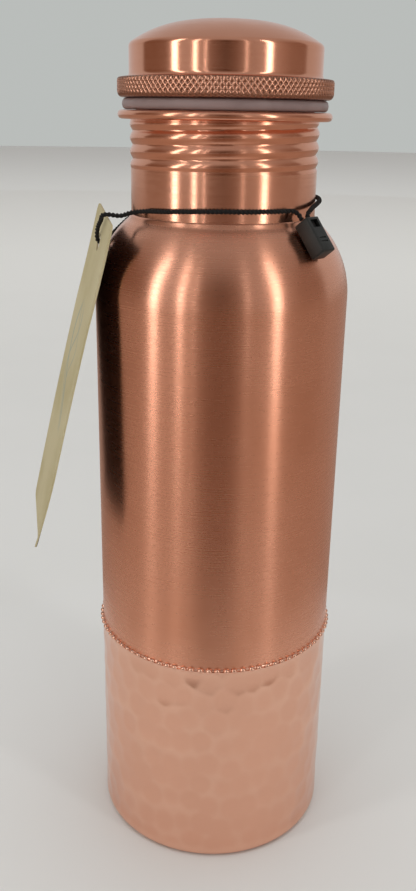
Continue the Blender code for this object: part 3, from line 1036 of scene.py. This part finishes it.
@dataclass
class Cap:
    """The screw cap: dome, knurled grip, threaded plug and gasket."""

    sizes: Sizes
    body: str = "cap"
    gasket_body: str = "gasket"
    segments: int = 200
    radius: float = 26.9 * MM
    wall_height: float = 7.4 * MM
    corner: float = 1.6 * MM
    crown: float = 5.6 * MM
    crown_power: float = 2.9
    flare: float = 0.8 * MM
    flare_height: float = 1.2 * MM
    grip_radius: float = 30.2 * MM
    grip_height: float = 5.3 * MM
    grip_corner: float = 1.6 * MM
    spigot_height: float = 3.0 * MM
    gasket_radius: float = 28.8 * MM
    gasket_thickness: float = 2.55 * MM
    plug_depth: float = 17.0 * MM
    floor_lip: float = 2.4 * MM
    knurls: int = 118
    knurl_depth: float = 0.42 * MM

    @property
    def gasket_bottom(self) -> float:
        """Height of the gasket's lower face."""
        return self.sizes.rim_top + self.sizes.gap

    @property
    def grip_bottom(self) -> float:
        """Height of the grip ring's lower face."""
        return self.gasket_bottom + self.gasket_thickness + self.sizes.gap

    @property
    def grip_top(self) -> float:
        """Height of the grip ring's upper face."""
        return self.grip_bottom + self.grip_height

    @property
    def plug_top(self) -> float:
        """Height of the plug's upper edge, inside the dome."""
        return self.grip_top + self.spigot_height

    @property
    def plug_bottom(self) -> float:
        """Height of the plug's lower edge."""
        return self.sizes.rim_top - self.plug_depth

    def build(self) -> None:
        """Make every piece of the cap."""
        self.dome()
        self.grip()
        self.plug()
        self.plug_floor()
        self.gasket()

    def _surface(self, radius: float, foot: float, top: float) -> list[Point]:
        """The dome's wall, corner and crown, from its foot to the axis."""
        corner = (radius - self.corner, top - self.corner)
        points = wall(radius, foot, top - self.corner, 16)[:-1] + arc(corner, self.corner, 0.0, 60.0, 12)
        edge_radius, edge_height = points[-1]
        crown = self.crown + top - edge_height
        for step in range(1, 41):
            share = 1.0 - (step / 40.0) ** 1.35
            points.append((edge_radius * share, edge_height + crown * (1.0 - share**self.crown_power)))
        return points

    def dome(self) -> None:
        """The spun dome, whose wall flares softly into the grip ring."""
        s = self.sizes
        foot = self.grip_top + 0.08 * MM
        top = self.grip_top + s.gap + self.wall_height + self.corner
        flare = []
        for step in range(9):
            turn = math.radians(90.0 * step / 8)
            out = self.flare * (1.0 - math.sin(turn))
            flare.append((self.radius + out, foot + self.flare_height * (1.0 - math.cos(turn))))
        outside = flare[:-1] + self._surface(self.radius, foot + self.flare_height, top)
        inside = self._surface(self.radius - s.sheet, foot, top - s.sheet)
        item = Bench.turn("dome", outside[::-1] + inside, self.segments)
        Bench.dress(item, 40.0, CAP, self.body, "cap_dome")

    def grip(self) -> None:
        """The grip ring with a diamond knurl pressed into its rim."""
        s = self.sizes
        bore = s.plug_root + s.gap
        edge = 0.8 * MM
        corner = (self.grip_radius - self.grip_corner, self.grip_bottom + self.grip_corner)
        spigot = self.radius - s.sheet - s.gap
        profile = [(bore, self.grip_bottom)] + arc(corner, self.grip_corner, -90.0, 0.0, 8)
        profile += wall(self.grip_radius, corner[1], self.grip_top - edge, 22)[1:]
        profile += arc((self.grip_radius - edge, self.grip_top - edge), edge, 0.0, 90.0, 4)[1:]
        profile += [(spigot, self.grip_top), (spigot, self.plug_top), (bore, self.plug_top)]
        item = Bench.turn("grip", profile, self.knurls * 8)
        half = self.grip_height / 2
        middle = self.grip_bottom + half
        pitch = TAU * self.grip_radius / self.knurls

        def knurl(radius: np.ndarray, angle: np.ndarray, height: np.ndarray) -> np.ndarray:
            """Two crossing sets of raised lines with pits between them."""
            around = angle * self.knurls / TAU
            rise = (height - middle) / (pitch * 1.25)
            first = np.abs((around + rise) % 1.0 - 0.5) * 2.0
            second = np.abs((around - rise) % 1.0 - 0.5) * 2.0
            line = np.clip(np.maximum(1.0 - first * 1.5, 1.0 - second * 1.5), 0.0, 1.0)
            rim = smoothstep((radius - self.grip_radius + 0.9 * MM) / (0.7 * MM))
            ease = smoothstep((self.grip_top - height) / (0.5 * MM))
            return -self.knurl_depth * (1.0 - line) * rim * ease

        Bench.swell(item, knurl)
        Bench.dress(item, 70.0, KNURLED, self.body, "cap_grip_ring")

    def plug(self) -> None:
        """The threaded sleeve that screws into the neck."""
        s = self.sizes
        bore = s.plug_root - s.sheet
        lead = 0.4 * MM
        bottom = self.plug_bottom
        profile = [(s.plug_root - 0.2 * MM, bottom)] + wall(s.plug_root, bottom + 0.2 * MM, s.thread_top, 90)
        profile += [(s.plug_root, self.plug_top), (bore, self.plug_top), (bore, bottom)]
        item = Bench.turn("plug", profile, self.segments)
        middle = (s.plug_root + bore) / 2

        def cut(radius: np.ndarray, angle: np.ndarray, height: np.ndarray) -> np.ndarray:
            """The plug's thread, on its outer wall only."""
            depth = (s.groove + s.ridge) * s.crest(angle, height)
            return np.where(radius > middle, s.fading(height, bottom + lead, s.thread_top) * depth, 0.0)

        Bench.swell(item, cut)
        Bench.dress(item, 40.0, PLUG, self.body, "cap_thread_plug")

    def plug_floor(self) -> None:
        """The dished disc that closes the plug."""
        s = self.sizes
        outer = s.plug_root - s.sheet - 0.1 * MM
        low = self.plug_bottom + s.sheet
        bend = s.sheet
        profile = [(0.0, low), (outer * 0.6, low)] + arc((outer - bend, low + bend), bend, -90.0, 0.0, 6)
        profile += [(outer, low + self.floor_lip), (outer - s.sheet, low + self.floor_lip)]
        profile += [(outer - s.sheet, low + s.sheet + 0.2 * MM), (outer - s.sheet - 0.2 * MM, low + s.sheet)]
        profile += [(0.0, low + s.sheet)]
        item = Bench.turn("plug_disc", profile, self.segments)
        Bench.dress(item, 40.0, FLOOR_DISC, self.body, "cap_plug_floor")

    def gasket(self) -> None:
        """The soft gasket, which bulges a little between rim and grip ring."""
        s = self.sizes
        inner = s.plug_root + s.gap
        low = self.gasket_bottom - 0.22 * MM
        high = self.gasket_bottom + self.gasket_thickness + 0.22 * MM
        half = (high - low) / 2
        edge = 1.15 * MM
        reach = self.gasket_radius - edge
        profile = [(inner, low)] + arc((reach, low + edge), edge, -90.0, 0.0, 6)
        profile += [(self.gasket_radius + 0.08 * MM, low + half)]
        profile += arc((reach, high - edge), edge, 0.0, 90.0, 6) + [(inner, high)]
        item = Bench.turn("gasket_ring", profile, self.segments)
        Bench.dress(item, 50.0, SILICONE, self.gasket_body, "cap_gasket")


# ---------------------------------------------------------------------------------------------
# The tag
# ---------------------------------------------------------------------------------------------


@dataclass
class Shoulder:
    """Finds places over the bottle's rounded shoulder."""

    sizes: Sizes

    def frame(self, turn: float, rise: float, stand_off: float) -> tuple[Vector, Vector, Vector, Vector]:
        """A place over the shoulder and its directions.

        Args:
            turn: Angle round the bottle, in radians.
            rise: Angle up the shoulder, in radians.
            stand_off: Distance off the surface.

        Returns:
            The place, then the directions along the shoulder, up it and out of it.
        """
        s = self.sizes
        centre = s.shoulder_centre
        radial = Vector((math.cos(turn), math.sin(turn), 0.0))
        upright = Vector((0.0, 0.0, 1.0))
        out = radial * math.cos(rise) + upright * math.sin(rise)
        place = radial * centre[0] + upright * centre[1] + out * (s.bend + stand_off)
        up = upright * math.cos(rise) - radial * math.sin(rise)
        return place, up.cross(out), up, out


@dataclass
class Tag:
    """The card tag, its twisted cord and its snap lock."""

    sizes: Sizes
    body: str = "tag"
    loop_body: str = "tag_loop"
    width: float = 40.0 * MM
    height: float = 101.0 * MM
    thickness: float = 0.5 * MM
    corner: float = 2.5 * MM
    hole_radius: float = 2.6 * MM
    hole_drop: float = 8.4 * MM
    curl: float = 1.6 * MM
    lock_length: float = 10.6 * MM
    lock_width: float = 5.4 * MM
    lock_depth: float = 4.8 * MM
    lock_wall: float = 0.9 * MM
    stand_off: float = 0.7 * MM
    side_turn: float = math.radians(193.2)
    lean: float = math.radians(13.5)
    tilt: float = math.radians(4.0)
    side_shift: float = -4.2 * MM
    hole_rise: float = 8.0 * MM
    curl_start: float = 1.72
    bow: float = 0.5 * MM
    lock_turn: float = math.radians(-41.9)
    lock_rise: float = math.radians(38.5)
    lock_gap: float = 0.35 * MM
    cord_diameter: float = 1.4 * MM
    ply_share: float = 0.34
    cord_step: float = 0.24 * MM
    cord_length: float = 194.9 * MM
    twist: float = 2.3 * MM
    route: tuple[tuple[str, float, float, float], ...] = (
        ("LOCK", -1.35, 0.55, 0.0),
        ("LOCK", -1.45, 2.2, -0.1),
        ("NECK", -48.0, 1.6, 4.1),
        ("NECK", -53.8, 1.2, 4.15),
        ("NECK", -61.5, 1.1, 4.15),
        ("NECK", -76.4, 1.1, 4.2),
        ("NECK", -92.1, 1.1, 4.25),
        ("NECK", -107.9, 1.1, 4.0),
        ("NECK", -124.2, 1.15, 3.55),
        ("NECK", -140.0, 1.35, 3.1),
        ("NECK", -149.5, 2.9, 2.3),
        ("NECK", -154.6, 5.0, 1.3),
        ("TAG", 8.7, -9.3, 1.5),
        ("TAG", 5.6, -6.9, 1.65),
        ("TAG", 3.0, -4.6, 1.7),
        ("TAG", 1.8, -2.3, 1.35),
        ("TAG", 1.2, -0.7, 0.7),
        ("TAG", -0.1, 0.1, -0.6),
        ("TAG", -2.8, 0.4, -1.6),
        ("TAG", -6.6, 0.4, -2.5),
        ("NECK", 167.6, 8.1, -6.9),
        ("NECK", 160.5, 6.93, -4.7),
        ("NECK", 153.0, 5.15, -1.8),
        ("NECK", 143.2, 3.12, 1.1),
        ("NECK", 128.9, 1.4, 3.2),
        ("NECK", 110.1, 1.15, 4.4),
        ("NECK", 90.0, 1.15, 5.0),
        ("NECK", 69.9, 1.15, 5.4),
        ("NECK", 49.3, 1.15, 5.6),
        ("NECK", 28.0, 1.15, 5.75),
        ("NECK", 9.0, 1.15, 5.75),
        ("NECK", -7.3, 1.15, 5.45),
        ("NECK", -20.5, 1.2, 4.95),
        ("NECK", -29.0, 1.7, 4.5),
        ("NECK", -35.0, 2.6, 4.05),
        ("LOCK", 1.9, 1.9, 0.35),
        ("LOCK", 1.2, 0.65, 0.1),
    )
    pieces: list[bpy.types.Object] = field(default_factory=list)

    def build(self) -> None:
        """Make the lock, the cord and the card."""
        self.lock()
        self.cord()
        self.card()

    def _card_frame(self) -> tuple[Vector, Vector, Vector, Vector]:
        """The middle of the card's hole, and the directions across the card, down it and out of it."""
        stand_off = self.stand_off + self.thickness / 2
        rest, side, up, out = Shoulder(self.sizes).frame(self.side_turn, self.lean, stand_off)
        hole = rest + side * self.side_shift + up * self.hole_rise
        across = side * math.cos(self.tilt) - up * math.sin(self.tilt)
        return hole, across, -side * math.sin(self.tilt) - up * math.cos(self.tilt), out

    def _lock_frame(self) -> tuple[Vector, Vector, Vector, Vector]:
        """The middle of the lock's top, and the directions across the lock, up it and out of it."""
        stand_off = self.lock_gap + self.lock_depth / 2
        middle, side, up, out = Shoulder(self.sizes).frame(self.lock_turn, self.lock_rise, stand_off)
        return middle + up * (self.lock_length / 2), side, up, out

    def _route_point(self, piece: str, first: float, second: float, third: float) -> Vector:
        """One point of the cord's route.

        Args:
            piece: NECK, TAG or LOCK, the piece that the point is laid out from.
            first: Angle in degrees for NECK, or millimetres across the piece.
            second: Millimetres off the neck's wall, down the tag or up from the lock.
            third: Millimetres above the neck's foot, or out of the piece.

        Returns:
            The point, in metres.
        """
        if piece == "NECK":
            angle = math.radians(first)
            reach = self.sizes.neck_radius + second * MM
            height = self.sizes.neck_foot + third * MM
            return Vector((reach * math.cos(angle), reach * math.sin(angle), height))
        start, along, over, out = self._card_frame() if piece == "TAG" else self._lock_frame()
        return start + (along * first + over * second + out * third) * MM

    @staticmethod
    def _smooth_route(points: Sequence[Vector], spacing: float) -> list[Vector]:
        """Evenly spaced points on a Catmull-Rom curve through the route's own points."""
        ends = [points[0] * 2 - points[1], *points, points[-1] * 2 - points[-2]]
        dense = []
        for before, start, end, after in zip(ends, ends[1:], ends[2:], ends[3:]):
            for step in range(24):
                t = step / 24
                bend = (before * -1 + start * 3 - end * 3 + after) * t**3
                bend += (before * 2 - start * 5 + end * 4 - after) * t**2
                dense.append((bend + (end - before) * t) * 0.5 + start)
        dense.append(points[-1])
        lengths = [0.0]
        for start, end in zip(dense, dense[1:]):
            lengths.append(lengths[-1] + (end - start).length)
        count = round(lengths[-1] / spacing)
        placed = []
        index = 0
        for step in range(count + 1):
            target = lengths[-1] * step / count
            while index < len(lengths) - 2 and lengths[index + 1] < target:
                index += 1
            span = lengths[index + 1] - lengths[index]
            placed.append(dense[index].lerp(dense[index + 1], (target - lengths[index]) / span))
        return placed

    @staticmethod
    def _frames(line: Sequence[Vector]) -> Iterator[tuple[Vector, Vector, Vector]]:
        """Two directions across the line at each point, carried along it without twist."""
        across = Vector((0.0, 0.0, 1.0))
        for index, place in enumerate(line):
            ahead = line[min(index + 1, len(line) - 1)] - line[max(index - 1, 0)]
            ahead.normalize()
            across = (across - ahead * across.dot(ahead)).normalized()
            yield place, across, ahead.cross(across)

    def cord(self) -> None:
        """The cord: two plies laid round each other along the route."""
        line = self._smooth_route([self._route_point(*point) for point in self.route], self.cord_step)
        ply = self.cord_diameter * self.ply_share
        lay = self.cord_diameter / 2 - ply
        sides = 7
        bm = bmesh.new()
        frames = list(self._frames(line))
        for strand in range(2):
            rings = []
            for index, (place, across, other) in enumerate(frames):
                turn = TAU * (index * self.cord_step / self.twist + strand / 2)
                heart = place + (across * math.cos(turn) + other * math.sin(turn)) * lay
                ring = []
                for side in range(sides):
                    angle = turn + TAU * side / sides
                    off = (across * math.cos(angle) + other * math.sin(angle)) * ply
                    ring.append(bm.verts.new(heart + off))
                rings.append(ring)
            for low, high in zip(rings, rings[1:]):
                for side in range(sides):
                    after = (side + 1) % sides
                    bm.faces.new((low[side], low[after], high[after], high[side]))
            bm.faces.new(rings[0][::-1])
            bm.faces.new(rings[-1])
        mesh = bpy.data.meshes.new("cord")
        bm.to_mesh(mesh)
        bm.free()
        item = bpy.data.objects.new("cord", mesh)
        bpy.context.scene.collection.objects.link(item)
        Bench.dress(item, 60.0, THREAD, self.loop_body, "tag_cord")
        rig.cord(
            item,
            exit=tuple(line[0]),
            length=self.cord_length,
            diameter=self.cord_diameter,
            far_end="object",
            stiffness="limp",
            lay="hanging",
            path=[tuple(point) for point in line[::3]] + [tuple(line[-1])],
            with_pieces=self.pieces,
        )

    def lock(self) -> None:
        """The snap lock: a socket with a window in its face, and the plug that shows in it."""
        top, side, up, out = self._lock_frame()
        middle = top - up * (self.lock_length / 2)
        place = Matrix.Translation(middle) @ Matrix((side, up, out)).transposed().to_4x4()
        outside = (self.lock_width, self.lock_length, self.lock_depth)
        socket = Bench.box("lock_socket", outside, (0.0, 0.0, 0.0))
        Bench.bevel(socket, 0.45 * MM, 3)
        bore = (self.lock_width - 2 * self.lock_wall, self.lock_length - self.lock_wall)
        bore_depth = self.lock_depth - 2 * self.lock_wall
        face = self.lock_depth / 2
        window = self.lock_length / 2 - 2.1 * MM
        line = (self.lock_width * 0.5, 0.45 * MM, 0.5 * MM)
        tools = (
            ((bore[0], bore[1] + 0.6 * MM, bore_depth), (0.0, self.lock_wall / 2 + 0.3 * MM, 0.0)),
            ((bore[0] - 0.6 * MM, 2.4 * MM, 2.1 * MM), (0.0, window, face)),
            (line, (0.0, -self.lock_length * 0.12, face)),
            (line, (0.0, -self.lock_length * 0.22, face)),
        )
        for size, centre in tools:
            Bench.cut(socket, Bench.box("lock_cut", size, centre))
        Bench.settle(socket, place)
        Bench.dress(socket, 35.0, PLASTIC, self.loop_body, "tag_lock_body")

        length = self.lock_length - 2 * self.lock_wall
        size = (bore[0] - 0.4 * MM, length, bore_depth - 0.4 * MM)
        plug = Bench.box("lock_plug", size, (0.0, self.lock_length / 2 - length / 2, 0.0))
        Bench.bevel(plug, 0.3 * MM, 2)
        Bench.settle(plug, place)
        Bench.dress(plug, 35.0, PLUG_PLASTIC, self.loop_body, "tag_lock_plug")
        self.pieces = [socket, plug]

    def card(self) -> None:
        """The card, with rounded corners, a punched hole and one corner that has curled up."""
        hole, across, down, out = self._card_frame()
        Bench.clear()
        bpy.ops.mesh.primitive_plane_add(size=1.0)
        item = Bench.name(bpy.context.active_object, "card")
        middle = self.height / 2 - self.hole_drop
        stretch = Matrix.Diagonal((self.width, self.height, 1.0, 1.0))
        Bench.settle(item, Matrix.Translation((0.0, middle, 0.0)) @ stretch)
        Bench.take(item)
        Bench.edit()
        bpy.ops.mesh.bevel(offset=self.corner, segments=6, affect="VERTICES")
        Bench.select_points()
        bpy.ops.mesh.extrude_region_move(TRANSFORM_OT_translate={"value": (0.0, 0.0, self.thickness)})
        Bench.select_points()
        bpy.ops.transform.translate(value=(0.0, 0.0, -self.thickness / 2))
        bpy.ops.mesh.normals_make_consistent(inside=False)
        bpy.ops.object.mode_set(mode="OBJECT")
        Bench.clear()
        bpy.ops.mesh.primitive_cylinder_add(vertices=32, radius=self.hole_radius, depth=5.0 * MM)
        Bench.cut(item, bpy.context.active_object)
        Bench.take(item)
        bpy.ops.object.mode_set(mode="EDIT")
        for step in range(1, 14):
            sideways = self.width * (step / 14 - 0.5)
            Bench.select_points()
            bpy.ops.mesh.bisect(plane_co=(sideways, 0.0, 0.0), plane_no=(1.0, 0.0, 0.0))
        for step in range(1, 34):
            lower = self.height * step / 34 - self.hole_drop
            Bench.select_points()
            bpy.ops.mesh.bisect(plane_co=(0.0, lower, 0.0), plane_no=(0.0, 1.0, 0.0))
        bpy.ops.object.mode_set(mode="OBJECT")
        self._map_and_curl(item)
        Bench.settle(item, Matrix.Translation(hole) @ Matrix((across, down, out)).transposed().to_4x4())
        if Matrix((across, down, out)).determinant() < 0.0:
            item.data.flip_normals()
        Bench.dress(item, 35.0, CARD, self.body, "hang_tag")

    def _map_and_curl(self, item: bpy.types.Object) -> None:
        """Lay a map over the flat card, then lift its lower near corner and give it a slight bow.

        Args:
            item: The flat card, with x across it and y down it from the hole.
        """
        mesh = item.data
        layer = mesh.uv_layers.new(name="card")
        outer = mesh.attributes.new("outer", "FLOAT", "FACE")
        for polygon in mesh.polygons:
            outer.data[polygon.index].value = 1.0 if polygon.normal.z > -0.5 else 0.0
        for loop in mesh.loops:
            place = mesh.vertices[loop.vertex_index].co
            layer.data[loop.index].uv = (place.x / self.width + 0.5, (place.y + self.hole_drop) / self.height)
        for vertex in mesh.vertices:
            u = vertex.co.x / self.width + 0.5
            v = (vertex.co.y + self.hole_drop) / self.height
            near = max(0.0, u + v - self.curl_start) / (2.0 - self.curl_start)
            bow = math.sin(math.pi * min(1.0, max(0.0, v))) * self.bow
            vertex.co.z += self.curl * near**2 + bow * min(1.0, max(0.0, (v - 0.1) / 0.2))
        mesh.update()


# ---------------------------------------------------------------------------------------------
# The studio
# ---------------------------------------------------------------------------------------------


@dataclass(frozen=True)
class Strip:
    """A tall soft light at an angle round the bottle."""

    angle: float
    width: float
    radiance: float
    height: float = 1.3
    distance: float = 0.95
    centre: float = 0.5
    colour: Colour = (1.0, 0.98, 0.96)

    def build(self, number: int) -> None:
        """Place the light, aimed at the middle of the bottle."""
        data = bpy.data.lights.new(f"strip_{number}", "AREA")
        data.shape = "RECTANGLE"
        data.size = self.width
        data.size_y = self.height
        data.energy = self.radiance * math.pi * self.width * self.height
        data.color = self.colour
        item = bpy.data.objects.new(f"strip_{number}", data)
        turn = math.radians(self.angle)
        item.location = (self.distance * math.cos(turn), self.distance * math.sin(turn), self.centre)
        item.rotation_euler = (math.pi / 2, 0.0, turn + math.pi / 2)
        item.visible_camera = False
        bpy.context.scene.collection.objects.link(item)


@dataclass
class Studio:
    """Floor, surroundings, lights and camera."""

    strips: tuple[Strip, ...] = (
        Strip(-150.0, 0.12, 3.8),
        Strip(-125.0, 0.06, 3.9),
        Strip(-113.0, 0.015, 3.3),
        Strip(-67.0, 0.035, 1.2),
        Strip(-40.0, 0.11, 4.1),
    )
    overhead: float = 50.0
    pale_radius: float = 0.16
    surroundings: tuple[tuple[float, float, float], ...] = (
        (-180.0, 0.20, 0.8),
        (-164.0, 0.22, 0.7),
        (-152.0, 0.42, 0.2),
        (-134.0, 0.46, 0.2),
        (-118.0, 0.40, 0.3),
        (-106.0, 0.20, 0.6),
        (-90.0, 0.09, 0.9),
        (-78.0, 0.18, 0.7),
        (-66.0, 0.36, 0.3),
        (-50.0, 0.44, 0.2),
        (-26.0, 0.38, 0.4),
        (-10.0, 0.27, 0.58),
        (14.0, 0.25, 0.62),
        (18.0, 0.50, 0.0),
        (60.0, 0.56, 0.0),
        (120.0, 0.56, 0.0),
        (157.0, 0.50, 0.0),
        (161.0, 0.20, 0.8),
        (180.0, 0.20, 0.8),
    )

    def build(self) -> None:
        """Set up the whole studio."""
        self.camera()
        self.floor()
        self.flag()
        self.world()
        for number, strip in enumerate(self.strips):
            strip.build(number)
        self.top_light()

    def camera(self) -> None:
        """The camera, looking slightly down at the bottle's front."""
        yaw, pitch, roll = -0.0115, 0.3498, 0.0174
        forward = Vector((math.sin(yaw) * math.cos(pitch), math.cos(yaw) * math.cos(pitch), -math.sin(pitch)))
        right = Vector((math.cos(yaw), -math.sin(yaw), 0.0))
        up = right.cross(forward)
        turned_right = right * math.cos(roll) + up * math.sin(roll)
        turned_up = up * math.cos(roll) - right * math.sin(roll)
        data = bpy.data.cameras.new("camera")
        data.lens = 37.07
        data.sensor_width = 36.0
        data.clip_start = 0.01
        item = bpy.data.objects.new("camera", data)
        turn = Matrix((turned_right, turned_up, -forward)).transposed().to_4x4()
        item.matrix_world = Matrix.Translation((0.0, -0.2746875, 0.2306175)) @ turn
        bpy.context.scene.collection.objects.link(item)
        bpy.context.scene.camera = item

    def floor(self) -> None:
        """A plain pale floor with a faint unevenness."""
        Bench.clear()
        bpy.ops.mesh.primitive_circle_add(vertices=96, radius=6.0, fill_type="NGON", location=(0.0, 0.0, 0.0))
        item = Bench.name(bpy.context.active_object, "studio_floor")
        made, nodes, shader = start_material("studio_floor")
        where = nodes.vector(*nodes.place())
        cloud = nodes.noise(where, 9.0, 3.0)
        near = nodes.mix(cloud, (0.74, 0.765, 0.75), (0.79, 0.81, 0.80))
        x, y, _ = nodes.place()
        away = (x * x + y * y).root().between(0.2, 1.4)
        nodes.feed(shader.inputs["Base Color"], nodes.mix(away, near, (0.92, 0.95, 0.93)))
        shader.inputs["Roughness"].default_value = 0.6
        shader.inputs["Specular IOR Level"].default_value = 0.25
        item.data.materials.append(made)
        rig.stage(item)

    def flag(self) -> None:
        """A dull brown sheet round the pale part of the floor, which only the copper mirrors."""
        low, high, reach = 1.0 * MM, 1.2 * MM, 2.6
        profile = [(self.pale_radius, low), (reach, low), (reach, high), (self.pale_radius, high)]
        item = Bench.turn("studio_flag", profile, 96)
        made, nodes, shader = start_material("studio_flag")
        x, y, _ = nodes.place()
        side = abs(x.bearing(-1.0 * y)).between(math.radians(6.0), math.radians(32.0))
        nodes.feed(shader.inputs["Base Color"], nodes.mix(side, (0.20, 0.12, 0.08), (0.44, 0.35, 0.29)))
        shader.inputs["Roughness"].default_value = 0.9
        item.data.materials.append(made)
        item.visible_camera = False
        item.visible_shadow = False
        item.visible_diffuse = False
        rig.stage(item)

    @staticmethod
    def _tint(level: float, brown: float) -> Colour:
        """A colour of some brightness, between white at 0 and wood brown at 1."""
        return level, level * (1.0 - 0.45 * brown), level * (1.0 - 0.68 * brown)

    def world(self) -> None:
        """Soft surroundings: pale behind and at the sides, dimmer in front."""
        world = bpy.data.worlds.new("surroundings")
        bpy.context.scene.world = world
        nodes = Nodes(world)
        background = world.node_tree.nodes["Background"]
        source = nodes.node("ShaderNodeTexCoord", {}, {})
        parts = nodes.node("ShaderNodeSeparateXYZ", {}, {0: source.outputs["Generated"]})
        x, y, z = (Value(nodes, socket) for socket in parts.outputs)
        turn = y.bearing(x) / TAU + 0.5
        stops = [((angle + 180.0) / 360.0, self._tint(*tone)) for angle, *tone in self.surroundings]
        ring = nodes.node("ShaderNodeValToRGB", {"stops": stops}, {0: turn}).outputs[0]
        around = nodes.mix(z.between(0.3, 0.9), ring, (0.42, 0.40, 0.39))
        seen = nodes.node("ShaderNodeLightPath", {}, {}).outputs["Is Camera Ray"]
        nodes.feed(background.inputs["Color"], nodes.mix(seen, around, (0.49, 0.51, 0.495)))

    def top_light(self) -> None:
        """A wide soft light overhead, which the copper doesn't mirror."""
        data = bpy.data.lights.new("overhead", "AREA")
        data.shape = "DISK"
        data.size = 5.0
        data.energy = self.overhead
        item = bpy.data.objects.new("overhead", data)
        item.location = (0.1, 0.2, 3.0)
        item.visible_camera = False
        item.visible_glossy = False
        bpy.context.scene.collection.objects.link(item)


def main() -> None:
    """Build the bottle, its cap, its tag and the studio, and keep the two boxes."""
    logging.basicConfig(level=logging.INFO, format="%(message)s")
    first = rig.bounds()
    bpy.context.scene.view_settings.view_transform = "Standard"
    sizes = Sizes()
    Studio().build()
    Tag(sizes).build()
    Bottle(sizes).build()
    Cap(sizes).build()
    boxes = {"cad": first, "visual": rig.bounds()}
    plain = {name: [[float(number) for number in corner] for corner in box] for name, box in boxes.items()}
    with open("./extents.json", "w", encoding="utf-8") as out:
        json.dump(plain, out)
    log.info("boxes: %s", plain)


if __name__ == "__main__":
    main()
